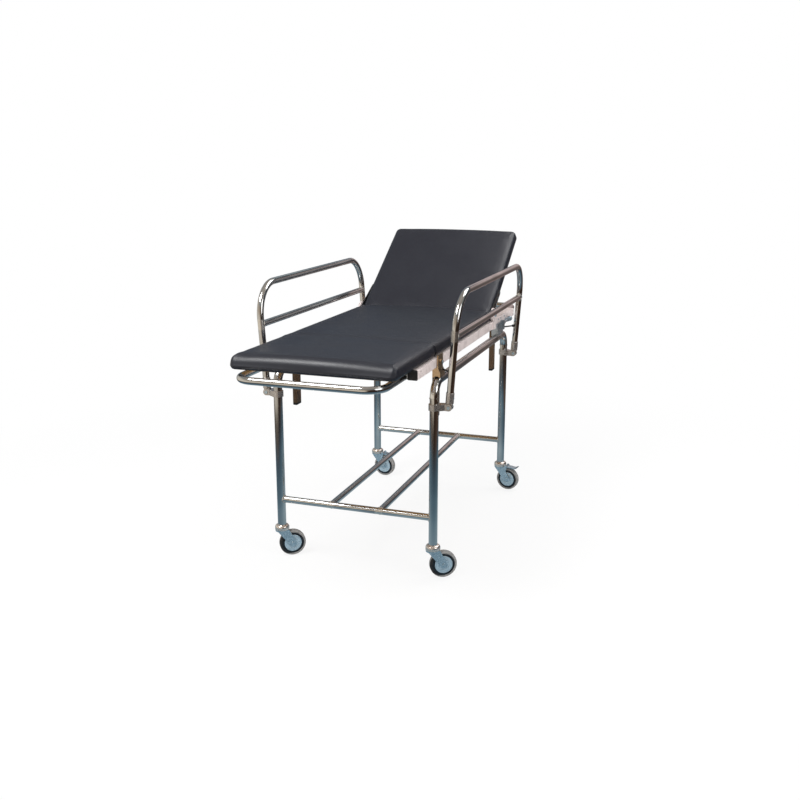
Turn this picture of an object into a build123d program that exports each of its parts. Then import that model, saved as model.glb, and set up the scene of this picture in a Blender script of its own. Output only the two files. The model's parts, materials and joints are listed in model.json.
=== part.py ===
from build123d import *
import os
from math import cos, radians, sin, sqrt, tan

# Stretcher trolley: a tube base on four swivel casters, two side rails that fold down, and a
# stretcher top that lifts off, with three cushions, the back one raised on ratchet hinges.
# Millimetres. +Z is up, the foot end is at -Y, +X is on the right from the foot end.
# The origin is on the floor under the middle of the trolley.

# Clearances
GAP = 0.3               # between flat faces of pieces that move apart
FIT = 0.05              # radial clearance of a pin in its bore
OVERLAP = 1.0           # how far two joined shapes run into each other

# Base frame
LEG_X = 300.0           # leg centre from the middle, across
LEG_Y = 515.0           # leg centre from the middle, along
LEG_D = 32.0
LEG_LENGTH = 545.0
TUBE_WALL = 2.0
HOOP_BEND = 55.0        # centre line radius
HOOP_STUB = 4.0         # straight end of a hoop, under its bend
JOINT_RING_D = 34.6
LOW_BAR_Z = 228.0
CROSS_BAR_D = 25.0
LONG_BAR_D = 24.0
LONG_BAR_X = 96.0

# Casters
WHEEL_D = 100.0
TYRE_W = 26.0
TYRE_ROUND = 6.5
HUB_D = 82.0
HUB_W = 23.0
DISC_D = 66.0           # raised disc on each side of a hub
DISC_W = 24.0
DISC_GROOVE = 3.5       # depth of the groove round a raised disc
BOSS_D = 22.0
AXLE_D = 10.0
AXLE_HEAD_D = 14.0
AXLE_HEAD_H = 3.0
TRAIL = 38.0            # wheel centre behind the swivel axis
FORK_CHEEK_T = 3.0
FORK_INNER_W = 31.0     # between the cheeks
FORK_FOOT_R = 13.0
FORK_ROOT_W = 41.6      # a cheek where it leaves the crown
FORK_ROOT_U = 2.0       # its middle, from the swivel axis
CROWN_D = 52.0
CROWN_T = 6.0
CROWN_CHAMFER = 1.0
CROWN_OVER_WHEEL = 1.0
KING_PIN_D = 12.0
KING_HEAD_D = 20.0
KING_HEAD_H = 4.0
RACE_D = 54.0
RACE_H = 19.7
RACE_RIM_H = 7.0        # straight part of the race, under its dome
RACE_LIP = 6.0          # height of the race round the foot of the leg
RACE_LIP_T = 1.5
STEM_H = 35.0           # plug inside the leg
CASTER_ANGLES = {       # where each wheel trails at rest, in degrees from +X
    "front_left": 36.0,
    "front_right": 30.0,
    "rear_left": -5.0,
    "rear_right": -7.0,
}

# Brake pedals of the rear casters, in the side view of the caster
PEDAL_PIVOT_U = 32.0    # from the swivel axis
PEDAL_PIVOT_RISE = 7.0  # above the underside of the crown
PEDAL_PIN_D = 4.0
PEDAL_BARREL_D = 9.0
PEDAL_T = 3.0
PEDAL_TREAD_W = 38.0
PEDAL_BENDS = ((0, 0), (18, -1.5), (40, -4.5), (51, 0))    # from its pivot: back, up
PEDAL_SHOE_U = 14.0     # behind its pivot
PEDAL_SHOE_L = 12.0
PEDAL_SHOE_OVER_TYRE = 1.9
PEDAL_EAR_R = 6.5
PEDAL_EAR_ROOT_DROP = 13.0      # below the underside of the crown

# Side rails and their hinges
RAIL_Y = 500.0          # upright from the middle, along
RAIL_PIVOT_X = 350.0
RAIL_PIVOT_DROP = 88.0  # pivot below the centre line of the hoops
RAIL_LEAN = 3.8         # degrees outwards, when up
RAIL_HEIGHT = 394.0     # pivot to the centre line of the top bar
RAIL_MID_HEIGHT = 250.5
RAIL_BEND = 125.0
RAIL_D = 25.0
RAIL_MID_D = 24.0
RAIL_PIN_D = 8.0
RAIL_PIN_HEAD_D = 12.0
RAIL_PIN_HEAD_H = 2.0
TONGUE_T = 13.0
TONGUE_R = 11.0
EAR_T = 6.0
EAR_R = 12.0
LUG_H = 22.0
LUG_RING_T = 4.0
LUG_ROOT_X = 13.0       # face of the fork block, inwards of the pin
LUG_BLOCK_L = 11.0
SOCKET_WALL = 2.0
SOCKET_START = 15.0     # from the pin
SOCKET_FLOOR_T = 3.0
SOCKET_DEPTH = 35.0

# Saddles between the base and the stretcher top
SADDLE_H = 29.7         # from the top of a hoop to its seat
SADDLE_WRAP = 5.0       # how far a saddle reaches down over the tube
SADDLE_CHEEK_T = 5.2
SADDLE_FOOT_W = 13.0    # outer foot of a saddle, from the hoop's centre line
FRONT_SADDLE_Y = -462.5
FRONT_SADDLE_L = 57.0
FRONT_CHEEK_H = 44.0    # above the seat
FRONT_SCREW_D = 16.0
FRONT_SCREW_H = 4.0
FRONT_SCREW_RISE = 17.0
REAR_SADDLE_Y = 396.0
REAR_SADDLE_L = 92.0
REAR_CHEEK_H = 17.5
KEEPER_T = 12.0
KEEPER_H = 22.5         # above the seat
KEEPER_W = 15.5
STOP_ROD_D = 6.0
STOP_BUMPER_D = 11.0
STOP_BUMPER_L = 9.0
STOP_DROP = 9.0         # below the saddle's seat
STOP_CHAMFER = 1.0
SADDLE_SHOULDER_DROP = 3.0      # foot of the cheek's outer face, below the seat
SADDLE_SLOPE_DROP = 18.0        # foot of the slope under it
SADDLE_SEAT_INSET = 0.5         # inner face, outwards of the tube's inner side
FRONT_STOP_Y = -450.0
REAR_STOP_INSET = 5.0   # root of the rear rod, from the outer face of the cheek

# Stretcher top
MEMBER_W = 35.0
MEMBER_WALL = 2.0
MEMBER_CORNER = 4.0
MEMBER_OUTER_X = 300.0
MEMBER_HALF_L = 702.0
CAP_T = 3.0
CAP_PLUG_L = 18.0
MEMBER_HOLE_D = 8.0
MEMBER_SMALL_HOLE_D = 4.0
MEMBER_HOLE_Y = -665.0
MEMBER_HOLE_DROP = 12.0
MEMBER_SMALL_HOLE_DROP = 27.0
MEMBER_SLOT_Y = -578.0
MEMBER_SLOT_W = 4.0
MEMBER_SLOT_H = 18.0
CROSS_MEMBER_W = 25.0
MIDDLE_CROSS_Y = 298.0
LOOP_D = 25.0
LOOP_REACH = 925.0      # centre line of the end tube from the middle
LOOP_ROOT = 600.0
LOOP_DROP = 24.0        # centre line below the deck
LOOP_BEND = 65.0
POST_W = 18.0
POST_L = 40.0
POST_WALL = 1.5
POST_Y = 410.0
POST_LENGTH = 188.0
POST_CORNER = 4.0
POST_CLEAR_OF_HOOP = 1.5
POST_TIP_H = 9.0
POST_TIP_PLUG_H = 12.0

# Cushions on their boards
CUSHION_HALF_W = 289.0
CUSHION_EDGE_H = 42.0
CUSHION_CROWN_H = 58.0
CUSHION_EDGE_ROUND = 15.0
CUSHION_CORNER = 45.0
SEAM_CORNER = 12.0
BOARD_T = 12.0
BOARD_INSET = 6.0
FOOT_CUSHION_START = -888.0
SEAM_Y = -480.0
SEAM_GAP = 2.0
SEAT_CUSHION_END = 288.0

# Backrest and its ratchet hinges
BACK_PIVOT_Y = 318.0
BACK_PIVOT_RISE = 28.0  # above the deck
BACK_CLEAR_OF_DECK = 0.5
BACK_ANGLE = 34.1       # degrees above flat, as it stands
BACK_LENGTH = 548.0     # from the pivot
HINGE_PLATE_T = 4.0
HINGE_PLATE_START = 306.0
HINGE_PLATE_END = 506.0
HINGE_PLATE_RISE = 8.0  # above the deck
HINGE_PLATE_EYE_R = 22.0
HINGE_SHOULDER_L = 52.0
HINGE_SHOULDER_ANGLE = 53.0     # where the slope leaves the eye, in degrees
DRUM_D = 55.0
DRUM_STEP_D = 40.0
DRUM_STEP_T = 2.0
HINGE_BOLT_D = 10.0
HINGE_BOLT_HEAD_D = 19.0
HINGE_BOLT_HEAD_H = 5.0
ARM_T = 4.0
ARM_EYE_R = 18.0
ARM_LENGTH = 150.0
ARM_TIP_R = 11.0
ARM_TIP_DROP = 10.0     # centre of the arm's tip, under the pivot's level
ARM_SCREW_D = 5.0
ARM_SCREW_HEAD_D = 10.0
ARM_SCREW_HEAD_H = 0.8
ARM_SCREW_L = 14.0
ARM_SCREWS_U = (75.0, 112.0, 149.0)
ARM_SCREW_DROP = 10.0

# Latch bolts on the stretcher top
LATCH_D = 10.0
LATCH_X = 312.0
LATCH_DROP = 27.0       # below the deck
LATCH_LENGTH = 116.0
LATCH_CLEAR = 1.5       # tip to keeper when drawn back
LATCH_TRAVEL = 22.0
LATCH_KNOB_D = 22.0
LATCH_KNOB_L = 18.0
GUIDE_T = 8.0
GUIDE_R = 8.0
GUIDES_FROM_TIP = (8.5, 84.0)

# Levels and places that follow from the sizes above
WHEEL_Z = WHEEL_D / 2
CROWN_Z = WHEEL_D + CROWN_OVER_WHEEL
RACE_Z = CROWN_Z + CROWN_T + GAP
LEG_FOOT_Z = RACE_Z + RACE_H - RACE_LIP
JOINT_Z = LEG_FOOT_Z + LEG_LENGTH
HOOP_Z = JOINT_Z + HOOP_STUB + HOOP_BEND
RAIL_PIVOT_Z = HOOP_Z - RAIL_PIVOT_DROP
SEAT_Z = HOOP_Z + LEG_D / 2 + SADDLE_H
MEMBER_Z = SEAT_Z + GAP
DECK_Z = MEMBER_Z + MEMBER_W
MEMBER_INNER_X = MEMBER_OUTER_X - MEMBER_W
LOOP_X = MEMBER_INNER_X - LOOP_D / 2
LOOP_Z = DECK_Z - LOOP_DROP
POST_X = LEG_X - LEG_D / 2 - POST_CLEAR_OF_HOOP - POST_W / 2
BACK_PIVOT_Z = DECK_Z + BACK_PIVOT_RISE
BACK_FRONT_R = BACK_PIVOT_RISE - BACK_CLEAR_OF_DECK
HINGE_FACE_X = MEMBER_OUTER_X + HINGE_PLATE_T
ARM_OUTER_X = CUSHION_HALF_W + ARM_T
LATCH_Z = DECK_Z - LATCH_DROP
REAR_CHEEK_X = HINGE_FACE_X + GAP
KEEPER_FACE_Y = REAR_SADDLE_Y + REAR_SADDLE_L / 2
LATCH_TIP_Y = KEEPER_FACE_Y + LATCH_CLEAR

SIDES = {"left": -1, "right": 1}
ENDS = {"front": -1, "rear": 1}
CORNERS = [(f"{end}_{side}", SIDES[side], ENDS[end]) for end in ENDS for side in SIDES]


def along(x, z, start):
    """A plane across the length at y = start, facing +Y."""
    return Plane((x, start, z), x_dir=(-1, 0, 0), z_dir=(0, 1, 0))


def across(y, z, start):
    """A plane across the width at x = start, facing +X, with its own y up."""
    return Plane((start, y, z), x_dir=(0, 1, 0), z_dir=(1, 0, 0))


def straight_tube(plane, outer, length):
    """A round tube that stands on a plane."""
    with BuildPart() as straight:
        with BuildSketch(plane):
            Circle(outer / 2)
            Circle(outer / 2 - TUBE_WALL, mode=Mode.SUBTRACT)
        extrude(amount=length)
    return straight.part


def bent_tube(plane, corners, bend, outer):
    """A round tube bent at each corner of a flat route."""
    with BuildPart() as bent:
        with BuildLine(plane) as route:
            FilletPolyline(*corners, radius=bend)
        path = route.wire()
        with BuildSketch(Plane(origin=path @ 0, z_dir=path % 0)):
            Circle(outer / 2)
            Circle(outer / 2 - TUBE_WALL, mode=Mode.SUBTRACT)
        sweep(path=path)
    return bent.part


# Base frame


def leg(x, y):
    return straight_tube(Plane((x, y, LEG_FOOT_Z)), LEG_D, LEG_LENGTH)


def hoop(x):
    """The bent tube that joins the two legs of one side, with a ring at each joint."""
    corners = [(-LEG_Y, JOINT_Z), (-LEG_Y, HOOP_Z), (LEG_Y, HOOP_Z), (LEG_Y, JOINT_Z)]
    with BuildPart() as side_hoop:
        add(bent_tube(across(0, 0, x), corners, HOOP_BEND, LEG_D))
        for y in (-LEG_Y, LEG_Y):
            with BuildSketch(Plane((x, y, JOINT_Z))):
                Circle(JOINT_RING_D / 2)
                Circle(LEG_D / 2 - TUBE_WALL, mode=Mode.SUBTRACT)
            extrude(amount=HOOP_STUB)
    return side_hoop.part


def cross_bar(y):
    """A bar between two legs, with its ends shaped to them."""
    with BuildPart() as bar:
        add(straight_tube(across(y, LOW_BAR_Z, -LEG_X), CROSS_BAR_D, 2 * LEG_X))
        with Locations((-LEG_X, y, LOW_BAR_Z), (LEG_X, y, LOW_BAR_Z)):
            Cylinder(LEG_D / 2, 2 * CROSS_BAR_D, mode=Mode.SUBTRACT)
    return bar.part


def long_bars():
    """Two bars between the cross bars, with their ends shaped to them."""
    with BuildPart() as bars:
        for side in SIDES.values():
            add(straight_tube(along(side * LONG_BAR_X, LOW_BAR_Z, -LEG_Y), LONG_BAR_D, 2 * LEG_Y))
        with Locations(across(-LEG_Y, LOW_BAR_Z, 0), across(LEG_Y, LOW_BAR_Z, 0)):
            Cylinder(CROSS_BAR_D / 2, 2 * LEG_X, mode=Mode.SUBTRACT)
    return bars.part


# Casters


def caster_race(x, y):
    """The domed cup and stem on the foot of a leg, with the king pin that carries the fork."""
    stem_r = LEG_D / 2 - TUBE_WALL
    pin_r = KING_PIN_D / 2
    head_z = CROWN_Z - GAP
    lip_r = LEG_D / 2 + RACE_LIP_T
    lip_z = RACE_Z + RACE_H
    rim_z = RACE_Z + RACE_RIM_H
    bulge = sqrt(0.5)
    dome_middle = (
        lip_r + (RACE_D / 2 - lip_r) * bulge,
        rim_z + (lip_z - rim_z) * bulge,
    )
    with BuildPart() as race:
        with BuildSketch(Plane((x, y, 0), x_dir=(1, 0, 0), z_dir=(0, -1, 0))):
            with BuildLine():
                Polyline(
                    (lip_r, lip_z),
                    (LEG_D / 2, lip_z),
                    (LEG_D / 2, LEG_FOOT_Z),
                    (stem_r, LEG_FOOT_Z),
                    (stem_r, LEG_FOOT_Z + STEM_H),
                    (0, LEG_FOOT_Z + STEM_H),
                    (0, head_z - KING_HEAD_H),
                    (KING_HEAD_D / 2, head_z - KING_HEAD_H),
                    (KING_HEAD_D / 2, head_z),
                    (pin_r, head_z),
                    (pin_r, RACE_Z),
                    (RACE_D / 2, RACE_Z),
                    (RACE_D / 2, rim_z),
                )
                ThreePointArc((RACE_D / 2, rim_z), dome_middle, (lip_r, lip_z))
            make_face()
        revolve(axis=Axis((x, y, 0), (0, 0, 1)))
    return race.part


def caster_side(corner, x, y):
    """The side view of a caster: its own x is the way the wheel trails, its own y is up."""
    angle = radians(CASTER_ANGLES[corner])
    return Plane((x, y, 0), x_dir=(cos(angle), sin(angle), 0), z_dir=(sin(angle), -cos(angle), 0))


def caster_fork(view, braked):
    """A pressed fork: a round crown on the king pin and two tapered cheeks."""
    cheek = FORK_INNER_W / 2
    pivot = (PEDAL_PIVOT_U, CROWN_Z + PEDAL_PIVOT_RISE)
    with BuildPart() as fork:
        with BuildSketch(Plane((view.origin.X, view.origin.Y, CROWN_Z))):
            Circle(CROWN_D / 2)
            Circle(KING_PIN_D / 2 + FIT, mode=Mode.SUBTRACT)
        extrude(amount=CROWN_T)
        top_edges = fork.edges().filter_by(GeomType.CIRCLE).group_by(Axis.Z)[-1]
        chamfer(top_edges.sort_by(SortBy.RADIUS)[-1], CROWN_CHAMFER)
        for side in (-1, 1):
            with BuildSketch(view.offset(side * cheek)):
                with Locations((TRAIL, WHEEL_Z)):
                    Circle(FORK_FOOT_R)
                with Locations((FORK_ROOT_U, CROWN_Z + CROWN_T / 2)):
                    Rectangle(FORK_ROOT_W, CROWN_T)
                make_hull()
                with Locations((TRAIL, WHEEL_Z)):
                    Circle(AXLE_D / 2, mode=Mode.SUBTRACT)
            extrude(amount=side * FORK_CHEEK_T)
            if braked:
                with BuildSketch(view.offset(side * cheek)):
                    with Locations(pivot):
                        Circle(PEDAL_EAR_R)
                    with Locations((PEDAL_PIVOT_U - PEDAL_EAR_R, CROWN_Z - PEDAL_EAR_ROOT_DROP)):
                        Circle(PEDAL_EAR_R)
                    make_hull()
                extrude(amount=side * FORK_CHEEK_T)
        if braked:
            with BuildSketch(view):
                with Locations(pivot):
                    Circle(PEDAL_PIN_D / 2)
            extrude(amount=cheek + FORK_CHEEK_T, both=True)
    return fork.part


def caster_axle(view):
    """The bolt through the cheeks, with a head at each end."""
    outer = FORK_INNER_W / 2 + FORK_CHEEK_T
    with BuildPart() as axle:
        with BuildSketch(view):
            with Locations((TRAIL, WHEEL_Z)):
                Circle(AXLE_D / 2)
        extrude(amount=outer, both=True)
        for side in (-1, 1):
            with BuildSketch(view.offset(side * outer)):
                with Locations((TRAIL, WHEEL_Z)):
                    Circle(AXLE_HEAD_D / 2)
            extrude(amount=side * AXLE_HEAD_H)
        heads = axle.edges().filter_by(GeomType.CIRCLE).sort_by(Axis(view.origin, view.z_dir))
        chamfer([heads[0], heads[-1]], AXLE_HEAD_H / 3)
    return axle.part


def wheel_plane(view):
    """A plane through the wheel's axis: its own x runs along the axle."""
    centre = view.from_local_coords(Vector(TRAIL, WHEEL_Z, 0))
    return Plane(centre, x_dir=view.z_dir, z_dir=view.x_dir)


def revolved_about_axle(plane, half):
    """A wheel part from the half of its outline that lies on one side of the middle."""
    mirrored = [(-w, r) for w, r in reversed(half)]
    with BuildPart() as turned:
        with BuildSketch(plane):
            with BuildLine():
                Polyline(*half, *mirrored, close=True)
            make_face()
        revolve(axis=Axis(plane.origin, plane.x_dir))
    return turned.part


def wheel_hub(view):
    """The wheel's centre: a boss on the axle, a raised disc, a groove and the tyre's seat."""
    boss = FORK_INNER_W / 2 - GAP
    groove_w = DISC_W / 2 - DISC_GROOVE
    bore = AXLE_D / 2 + FIT
    rim = HUB_D / 2
    disc = DISC_D / 2
    return revolved_about_axle(wheel_plane(view), [
        (boss, bore),
        (boss, BOSS_D / 2 - 2),
        (DISC_W / 2, BOSS_D / 2),
        (DISC_W / 2, disc - 2),
        (DISC_W / 2 - 1.5, disc),
        (groove_w, disc + 0.5),
        (groove_w, rim - 3),
        (HUB_W / 2, rim - 1),
        (HUB_W / 2, rim),
    ])


def wheel_tyre(view):
    """The grey tyre, with its tread rounded at both sides."""
    plane = wheel_plane(view)
    side = TYRE_W / 2
    flat = side - TYRE_ROUND
    seat = HUB_D / 2
    tread = WHEEL_D / 2
    shoulder = tread - TYRE_ROUND
    with BuildPart() as tyre:
        with BuildSketch(plane):
            with BuildLine():
                Polyline(
                    (-side, shoulder),
                    (-side, seat + 2),
                    (-HUB_W / 2, seat),
                    (HUB_W / 2, seat),
                    (side, seat + 2),
                    (side, shoulder),
                )
                RadiusArc((side, shoulder), (flat, tread), -TYRE_ROUND)
                Line((flat, tread), (-flat, tread))
                RadiusArc((-flat, tread), (-side, shoulder), -TYRE_ROUND)
            make_face()
        revolve(axis=Axis(plane.origin, plane.x_dir))
    return tyre.part


def brake_pedal(view):
    """A bent plate on a barrel, with a shoe over the tyre and a wider tread at its end."""
    half_w = FORK_INNER_W / 2 - GAP
    u = PEDAL_PIVOT_U
    z = CROWN_Z + PEDAL_PIVOT_RISE
    plate = [(u + back, z + up) for back, up in PEDAL_BENDS]
    shoe_z = WHEEL_D + PEDAL_SHOE_OVER_TYRE
    shoe_h = z - PEDAL_T - shoe_z
    with BuildPart() as pedal:
        with BuildSketch(view):
            with BuildLine():
                Polyline(*plate)
            trace(line_width=PEDAL_T)
            with Locations((u, z)):
                Circle(PEDAL_BARREL_D / 2)
        extrude(amount=half_w, both=True)
        with BuildSketch(view):
            with BuildLine():
                Polyline(*plate[-2:])
            trace(line_width=PEDAL_T)
        extrude(amount=PEDAL_TREAD_W / 2, both=True)
        with BuildSketch(view):
            with Locations((u + PEDAL_SHOE_U, shoe_z + (shoe_h + OVERLAP) / 2)):
                Rectangle(PEDAL_SHOE_L, shoe_h + OVERLAP)
        extrude(amount=HUB_W / 2 - OVERLAP, both=True)
        with BuildSketch(view):
            with Locations((u, z)):
                Circle(PEDAL_PIN_D / 2 + FIT)
        extrude(amount=half_w, both=True, mode=Mode.SUBTRACT)
    return pedal.part


# Side rails and their hinges


def rail_lug(side, end):
    """A clamp ring on a leg, with an arm to a fork block that holds the rail's tongue."""
    x = side * LEG_X
    y = end * LEG_Y
    root_x = RAIL_PIVOT_X - LUG_ROOT_X
    slot = TONGUE_T / 2 + GAP
    ring_r = LEG_D / 2 + LUG_RING_T
    with BuildPart() as lug:
        with BuildSketch(Plane((0, 0, RAIL_PIVOT_Z - LUG_H / 2))):
            with Locations((x, y)):
                Circle(ring_r)
            with Locations((side * (root_x - LUG_BLOCK_L / 2), end * RAIL_Y)):
                Rectangle(LUG_BLOCK_L, 2 * (slot + EAR_T))
            make_hull()
            with Locations((x, y)):
                Circle(LEG_D / 2, mode=Mode.SUBTRACT)
        extrude(amount=LUG_H)
        middle = along(side * RAIL_PIVOT_X, RAIL_PIVOT_Z, end * RAIL_Y)
        for cheek in (-1, 1):
            with BuildSketch(middle.offset(cheek * slot)):
                Circle(EAR_R)
                with Locations((side * (LUG_ROOT_X + OVERLAP), 0)):
                    Rectangle(2 * OVERLAP, LUG_H)
                make_hull()
                Circle(RAIL_PIN_D / 2, mode=Mode.SUBTRACT)
            extrude(amount=cheek * EAR_T)
    return lug.part


def rail_pin(side, end):
    """A hinge pin with a head at each end."""
    middle = along(side * RAIL_PIVOT_X, RAIL_PIVOT_Z, end * RAIL_Y)
    half = TONGUE_T / 2 + GAP + EAR_T
    with BuildPart() as pin:
        with BuildSketch(middle):
            Circle(RAIL_PIN_D / 2)
        extrude(amount=half, both=True)
        for cheek in (-1, 1):
            with BuildSketch(middle.offset(cheek * half)):
                Circle(RAIL_PIN_HEAD_D / 2)
            extrude(amount=cheek * RAIL_PIN_HEAD_H)
    return pin.part


def rail_plane(side):
    """The plane of a side rail: its own x runs along the trolley, its own y up the rail."""
    lean = radians(RAIL_LEAN)
    outwards = (cos(lean), 0, -side * sin(lean))
    return Plane((side * RAIL_PIVOT_X, 0, RAIL_PIVOT_Z), x_dir=(0, 1, 0), z_dir=outwards)


def rail_frame(side):
    foot = SOCKET_START + SOCKET_FLOOR_T
    corners = [(-RAIL_Y, foot), (-RAIL_Y, RAIL_HEIGHT), (RAIL_Y, RAIL_HEIGHT), (RAIL_Y, foot)]
    return bent_tube(rail_plane(side), corners, RAIL_BEND, RAIL_D)


def rail_mid_bar(side):
    """The bar between the uprights of a rail, with its ends shaped to them."""
    plane = rail_plane(side)
    start = plane.from_local_coords(Vector(-RAIL_Y, RAIL_MID_HEIGHT, 0))
    with BuildPart() as bar:
        add(straight_tube(Plane(start, z_dir=(0, 1, 0)), RAIL_MID_D, 2 * RAIL_Y))
        for y in (-RAIL_Y, RAIL_Y):
            foot = plane.from_local_coords(Vector(y, RAIL_MID_HEIGHT, 0))
            with Locations(Plane(foot, z_dir=plane.y_dir)):
                Cylinder(RAIL_D / 2, 2 * RAIL_MID_D, mode=Mode.SUBTRACT)
    return bar.part


def rail_end_fitting(side, end):
    """A tongue on the hinge pin, with a socket that holds the foot of the rail's tube."""
    plane = rail_plane(side)
    origin = plane.from_local_coords(Vector(end * RAIL_Y, 0, 0))
    tongue = Plane(origin, x_dir=plane.z_dir, z_dir=(0, -1, 0))
    socket = Plane(plane.from_local_coords(Vector(end * RAIL_Y, SOCKET_START, 0)), z_dir=plane.y_dir)
    with BuildPart() as fitting:
        with BuildSketch(tongue):
            Circle(TONGUE_R)
            with Locations((0, (SOCKET_START + OVERLAP) / 2)):
                Rectangle(2 * TONGUE_R, SOCKET_START + OVERLAP)
        extrude(amount=TONGUE_T / 2, both=True)
        with BuildSketch(socket):
            Circle(RAIL_D / 2 + SOCKET_WALL)
        extrude(amount=SOCKET_FLOOR_T + SOCKET_DEPTH)
        rims = fitting.edges().filter_by(GeomType.CIRCLE).sort_by(Axis(origin, plane.y_dir))
        chamfer(rims[-1], SOCKET_WALL / 2)
        with BuildSketch(socket.offset(SOCKET_FLOOR_T)):
            Circle(RAIL_D / 2)
        extrude(amount=SOCKET_DEPTH, mode=Mode.SUBTRACT)
        with BuildSketch(tongue):
            Circle(RAIL_PIN_D / 2 + FIT)
        extrude(amount=TONGUE_T / 2, both=True, mode=Mode.SUBTRACT)
    return fitting.part


# Saddles and rail stops


def saddle_outline(side, cheek_x, cheek_h):
    """The section of a saddle: a foot shaped to the hoop, a seat and an upright cheek."""
    inner_x = LEG_X - LEG_D / 2 + SADDLE_SEAT_INSET
    foot_x = LEG_X + SADDLE_FOOT_W
    foot_z = HOOP_Z + LEG_D / 2 - SADDLE_WRAP
    outer_x = cheek_x + SADDLE_CHEEK_T
    points = [
        (inner_x, foot_z),
        (inner_x, SEAT_Z),
        (cheek_x, SEAT_Z),
        (cheek_x, SEAT_Z + cheek_h),
        (outer_x, SEAT_Z + cheek_h),
        (outer_x, SEAT_Z - SADDLE_SHOULDER_DROP),
        (foot_x, SEAT_Z - SADDLE_SLOPE_DROP),
        (foot_x, foot_z),
    ]
    return [(side * x, z) for x, z in points]


def front_view(y):
    """A plane across the length at y, seen from the foot end: its own x is +X, its own y is up."""
    return Plane((0, y, 0), x_dir=(1, 0, 0), z_dir=(0, -1, 0))


def front_saddle(side):
    """A saddle with a tall cheek and the round head of its clamp screw."""
    cheek_x = MEMBER_OUTER_X + GAP
    outer_x = cheek_x + SADDLE_CHEEK_T
    with BuildPart() as saddle:
        with BuildSketch(front_view(FRONT_SADDLE_Y)):
            Polygon(*saddle_outline(side, cheek_x, FRONT_CHEEK_H), align=None)
            with Locations((side * LEG_X, HOOP_Z)):
                Circle(LEG_D / 2, mode=Mode.SUBTRACT)
        extrude(amount=FRONT_SADDLE_L / 2, both=True)
        with BuildSketch(across(FRONT_SADDLE_Y, SEAT_Z + FRONT_SCREW_RISE, side * outer_x)):
            Circle(FRONT_SCREW_D / 2)
        extrude(amount=side * FRONT_SCREW_H)
    return saddle.part


def rear_saddle(side):
    """A saddle with a low cheek and the keeper that the latch bolt enters."""
    with BuildPart() as saddle:
        with BuildSketch(front_view(REAR_SADDLE_Y)):
            Polygon(*saddle_outline(side, REAR_CHEEK_X, REAR_CHEEK_H), align=None)
            with Locations((side * LEG_X, HOOP_Z)):
                Circle(LEG_D / 2, mode=Mode.SUBTRACT)
        extrude(amount=REAR_SADDLE_L / 2, both=True)
        keeper_h = KEEPER_H + SADDLE_SLOPE_DROP
        with BuildSketch(front_view(KEEPER_FACE_Y)):
            with Locations((side * (REAR_CHEEK_X + KEEPER_W / 2), SEAT_Z + KEEPER_H - keeper_h / 2)):
                Rectangle(KEEPER_W, keeper_h)
        extrude(amount=KEEPER_T)
        with BuildSketch(front_view(KEEPER_FACE_Y)):
            with Locations((side * LATCH_X, LATCH_Z)):
                Circle(LATCH_D / 2 + GAP)
        extrude(amount=LATCH_TRAVEL, mode=Mode.SUBTRACT)
    return saddle.part


def rail_stop(side, end):
    """A rod from a saddle towards the rail's upright, with a rubber-like bumper at its end."""
    z = SEAT_Z - STOP_DROP
    upright_x = RAIL_PIVOT_X + (z - RAIL_PIVOT_Z) * tan(radians(RAIL_LEAN))
    if end < 0:
        face = Plane((side * (LEG_X + SADDLE_FOOT_W), 0, 0), z_dir=(side, 0, 0))
        root = Vector(side * LEG_X, FRONT_STOP_Y, z)
    else:
        face = Plane((0, KEEPER_FACE_Y, 0), z_dir=(0, 1, 0))
        root = Vector(side * (REAR_CHEEK_X + REAR_STOP_INSET), KEEPER_FACE_Y - STOP_ROD_D, z)
    target = Vector(side * upright_x, end * RAIL_Y, z)
    way = (target - root).normalized()
    length = (target - root).length - RAIL_D / 2 - GAP
    with BuildPart() as stop:
        with BuildSketch(Plane(root, z_dir=way)):
            Circle(STOP_ROD_D / 2)
        extrude(amount=length)
        with BuildSketch(Plane(root + way * (length - STOP_BUMPER_L), z_dir=way)):
            Circle(STOP_BUMPER_D / 2)
        extrude(amount=STOP_BUMPER_L)
        chamfer(stop.edges().filter_by(GeomType.CIRCLE).sort_by(Axis(root, way))[-1], STOP_CHAMFER)
        split(bisect_by=face, keep=Keep.TOP)
    return stop.part


# Stretcher top


def side_member(side):
    """A square tube, with the holes and the slot of its outer wall."""
    x = side * (MEMBER_OUTER_X - MEMBER_W / 2)
    z = MEMBER_Z + MEMBER_W / 2
    half = MEMBER_HALF_L - CAP_T
    inner = MEMBER_W - 2 * MEMBER_WALL
    with BuildPart() as member:
        with BuildSketch(along(x, z, -half)):
            RectangleRounded(MEMBER_W, MEMBER_W, MEMBER_CORNER)
            RectangleRounded(inner, inner, MEMBER_CORNER - MEMBER_WALL, mode=Mode.SUBTRACT)
        extrude(amount=2 * half)
        with BuildSketch(across(0, 0, side * MEMBER_OUTER_X)):
            with Locations((MEMBER_HOLE_Y, DECK_Z - MEMBER_HOLE_DROP)):
                Circle(MEMBER_HOLE_D / 2)
            with Locations((MEMBER_HOLE_Y, DECK_Z - MEMBER_SMALL_HOLE_DROP)):
                Circle(MEMBER_SMALL_HOLE_D / 2)
            with Locations((MEMBER_SLOT_Y, z)):
                SlotOverall(MEMBER_SLOT_H, MEMBER_SLOT_W, rotation=90)
        extrude(amount=-side * 2 * MEMBER_WALL, mode=Mode.SUBTRACT)
    return member.part


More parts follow.
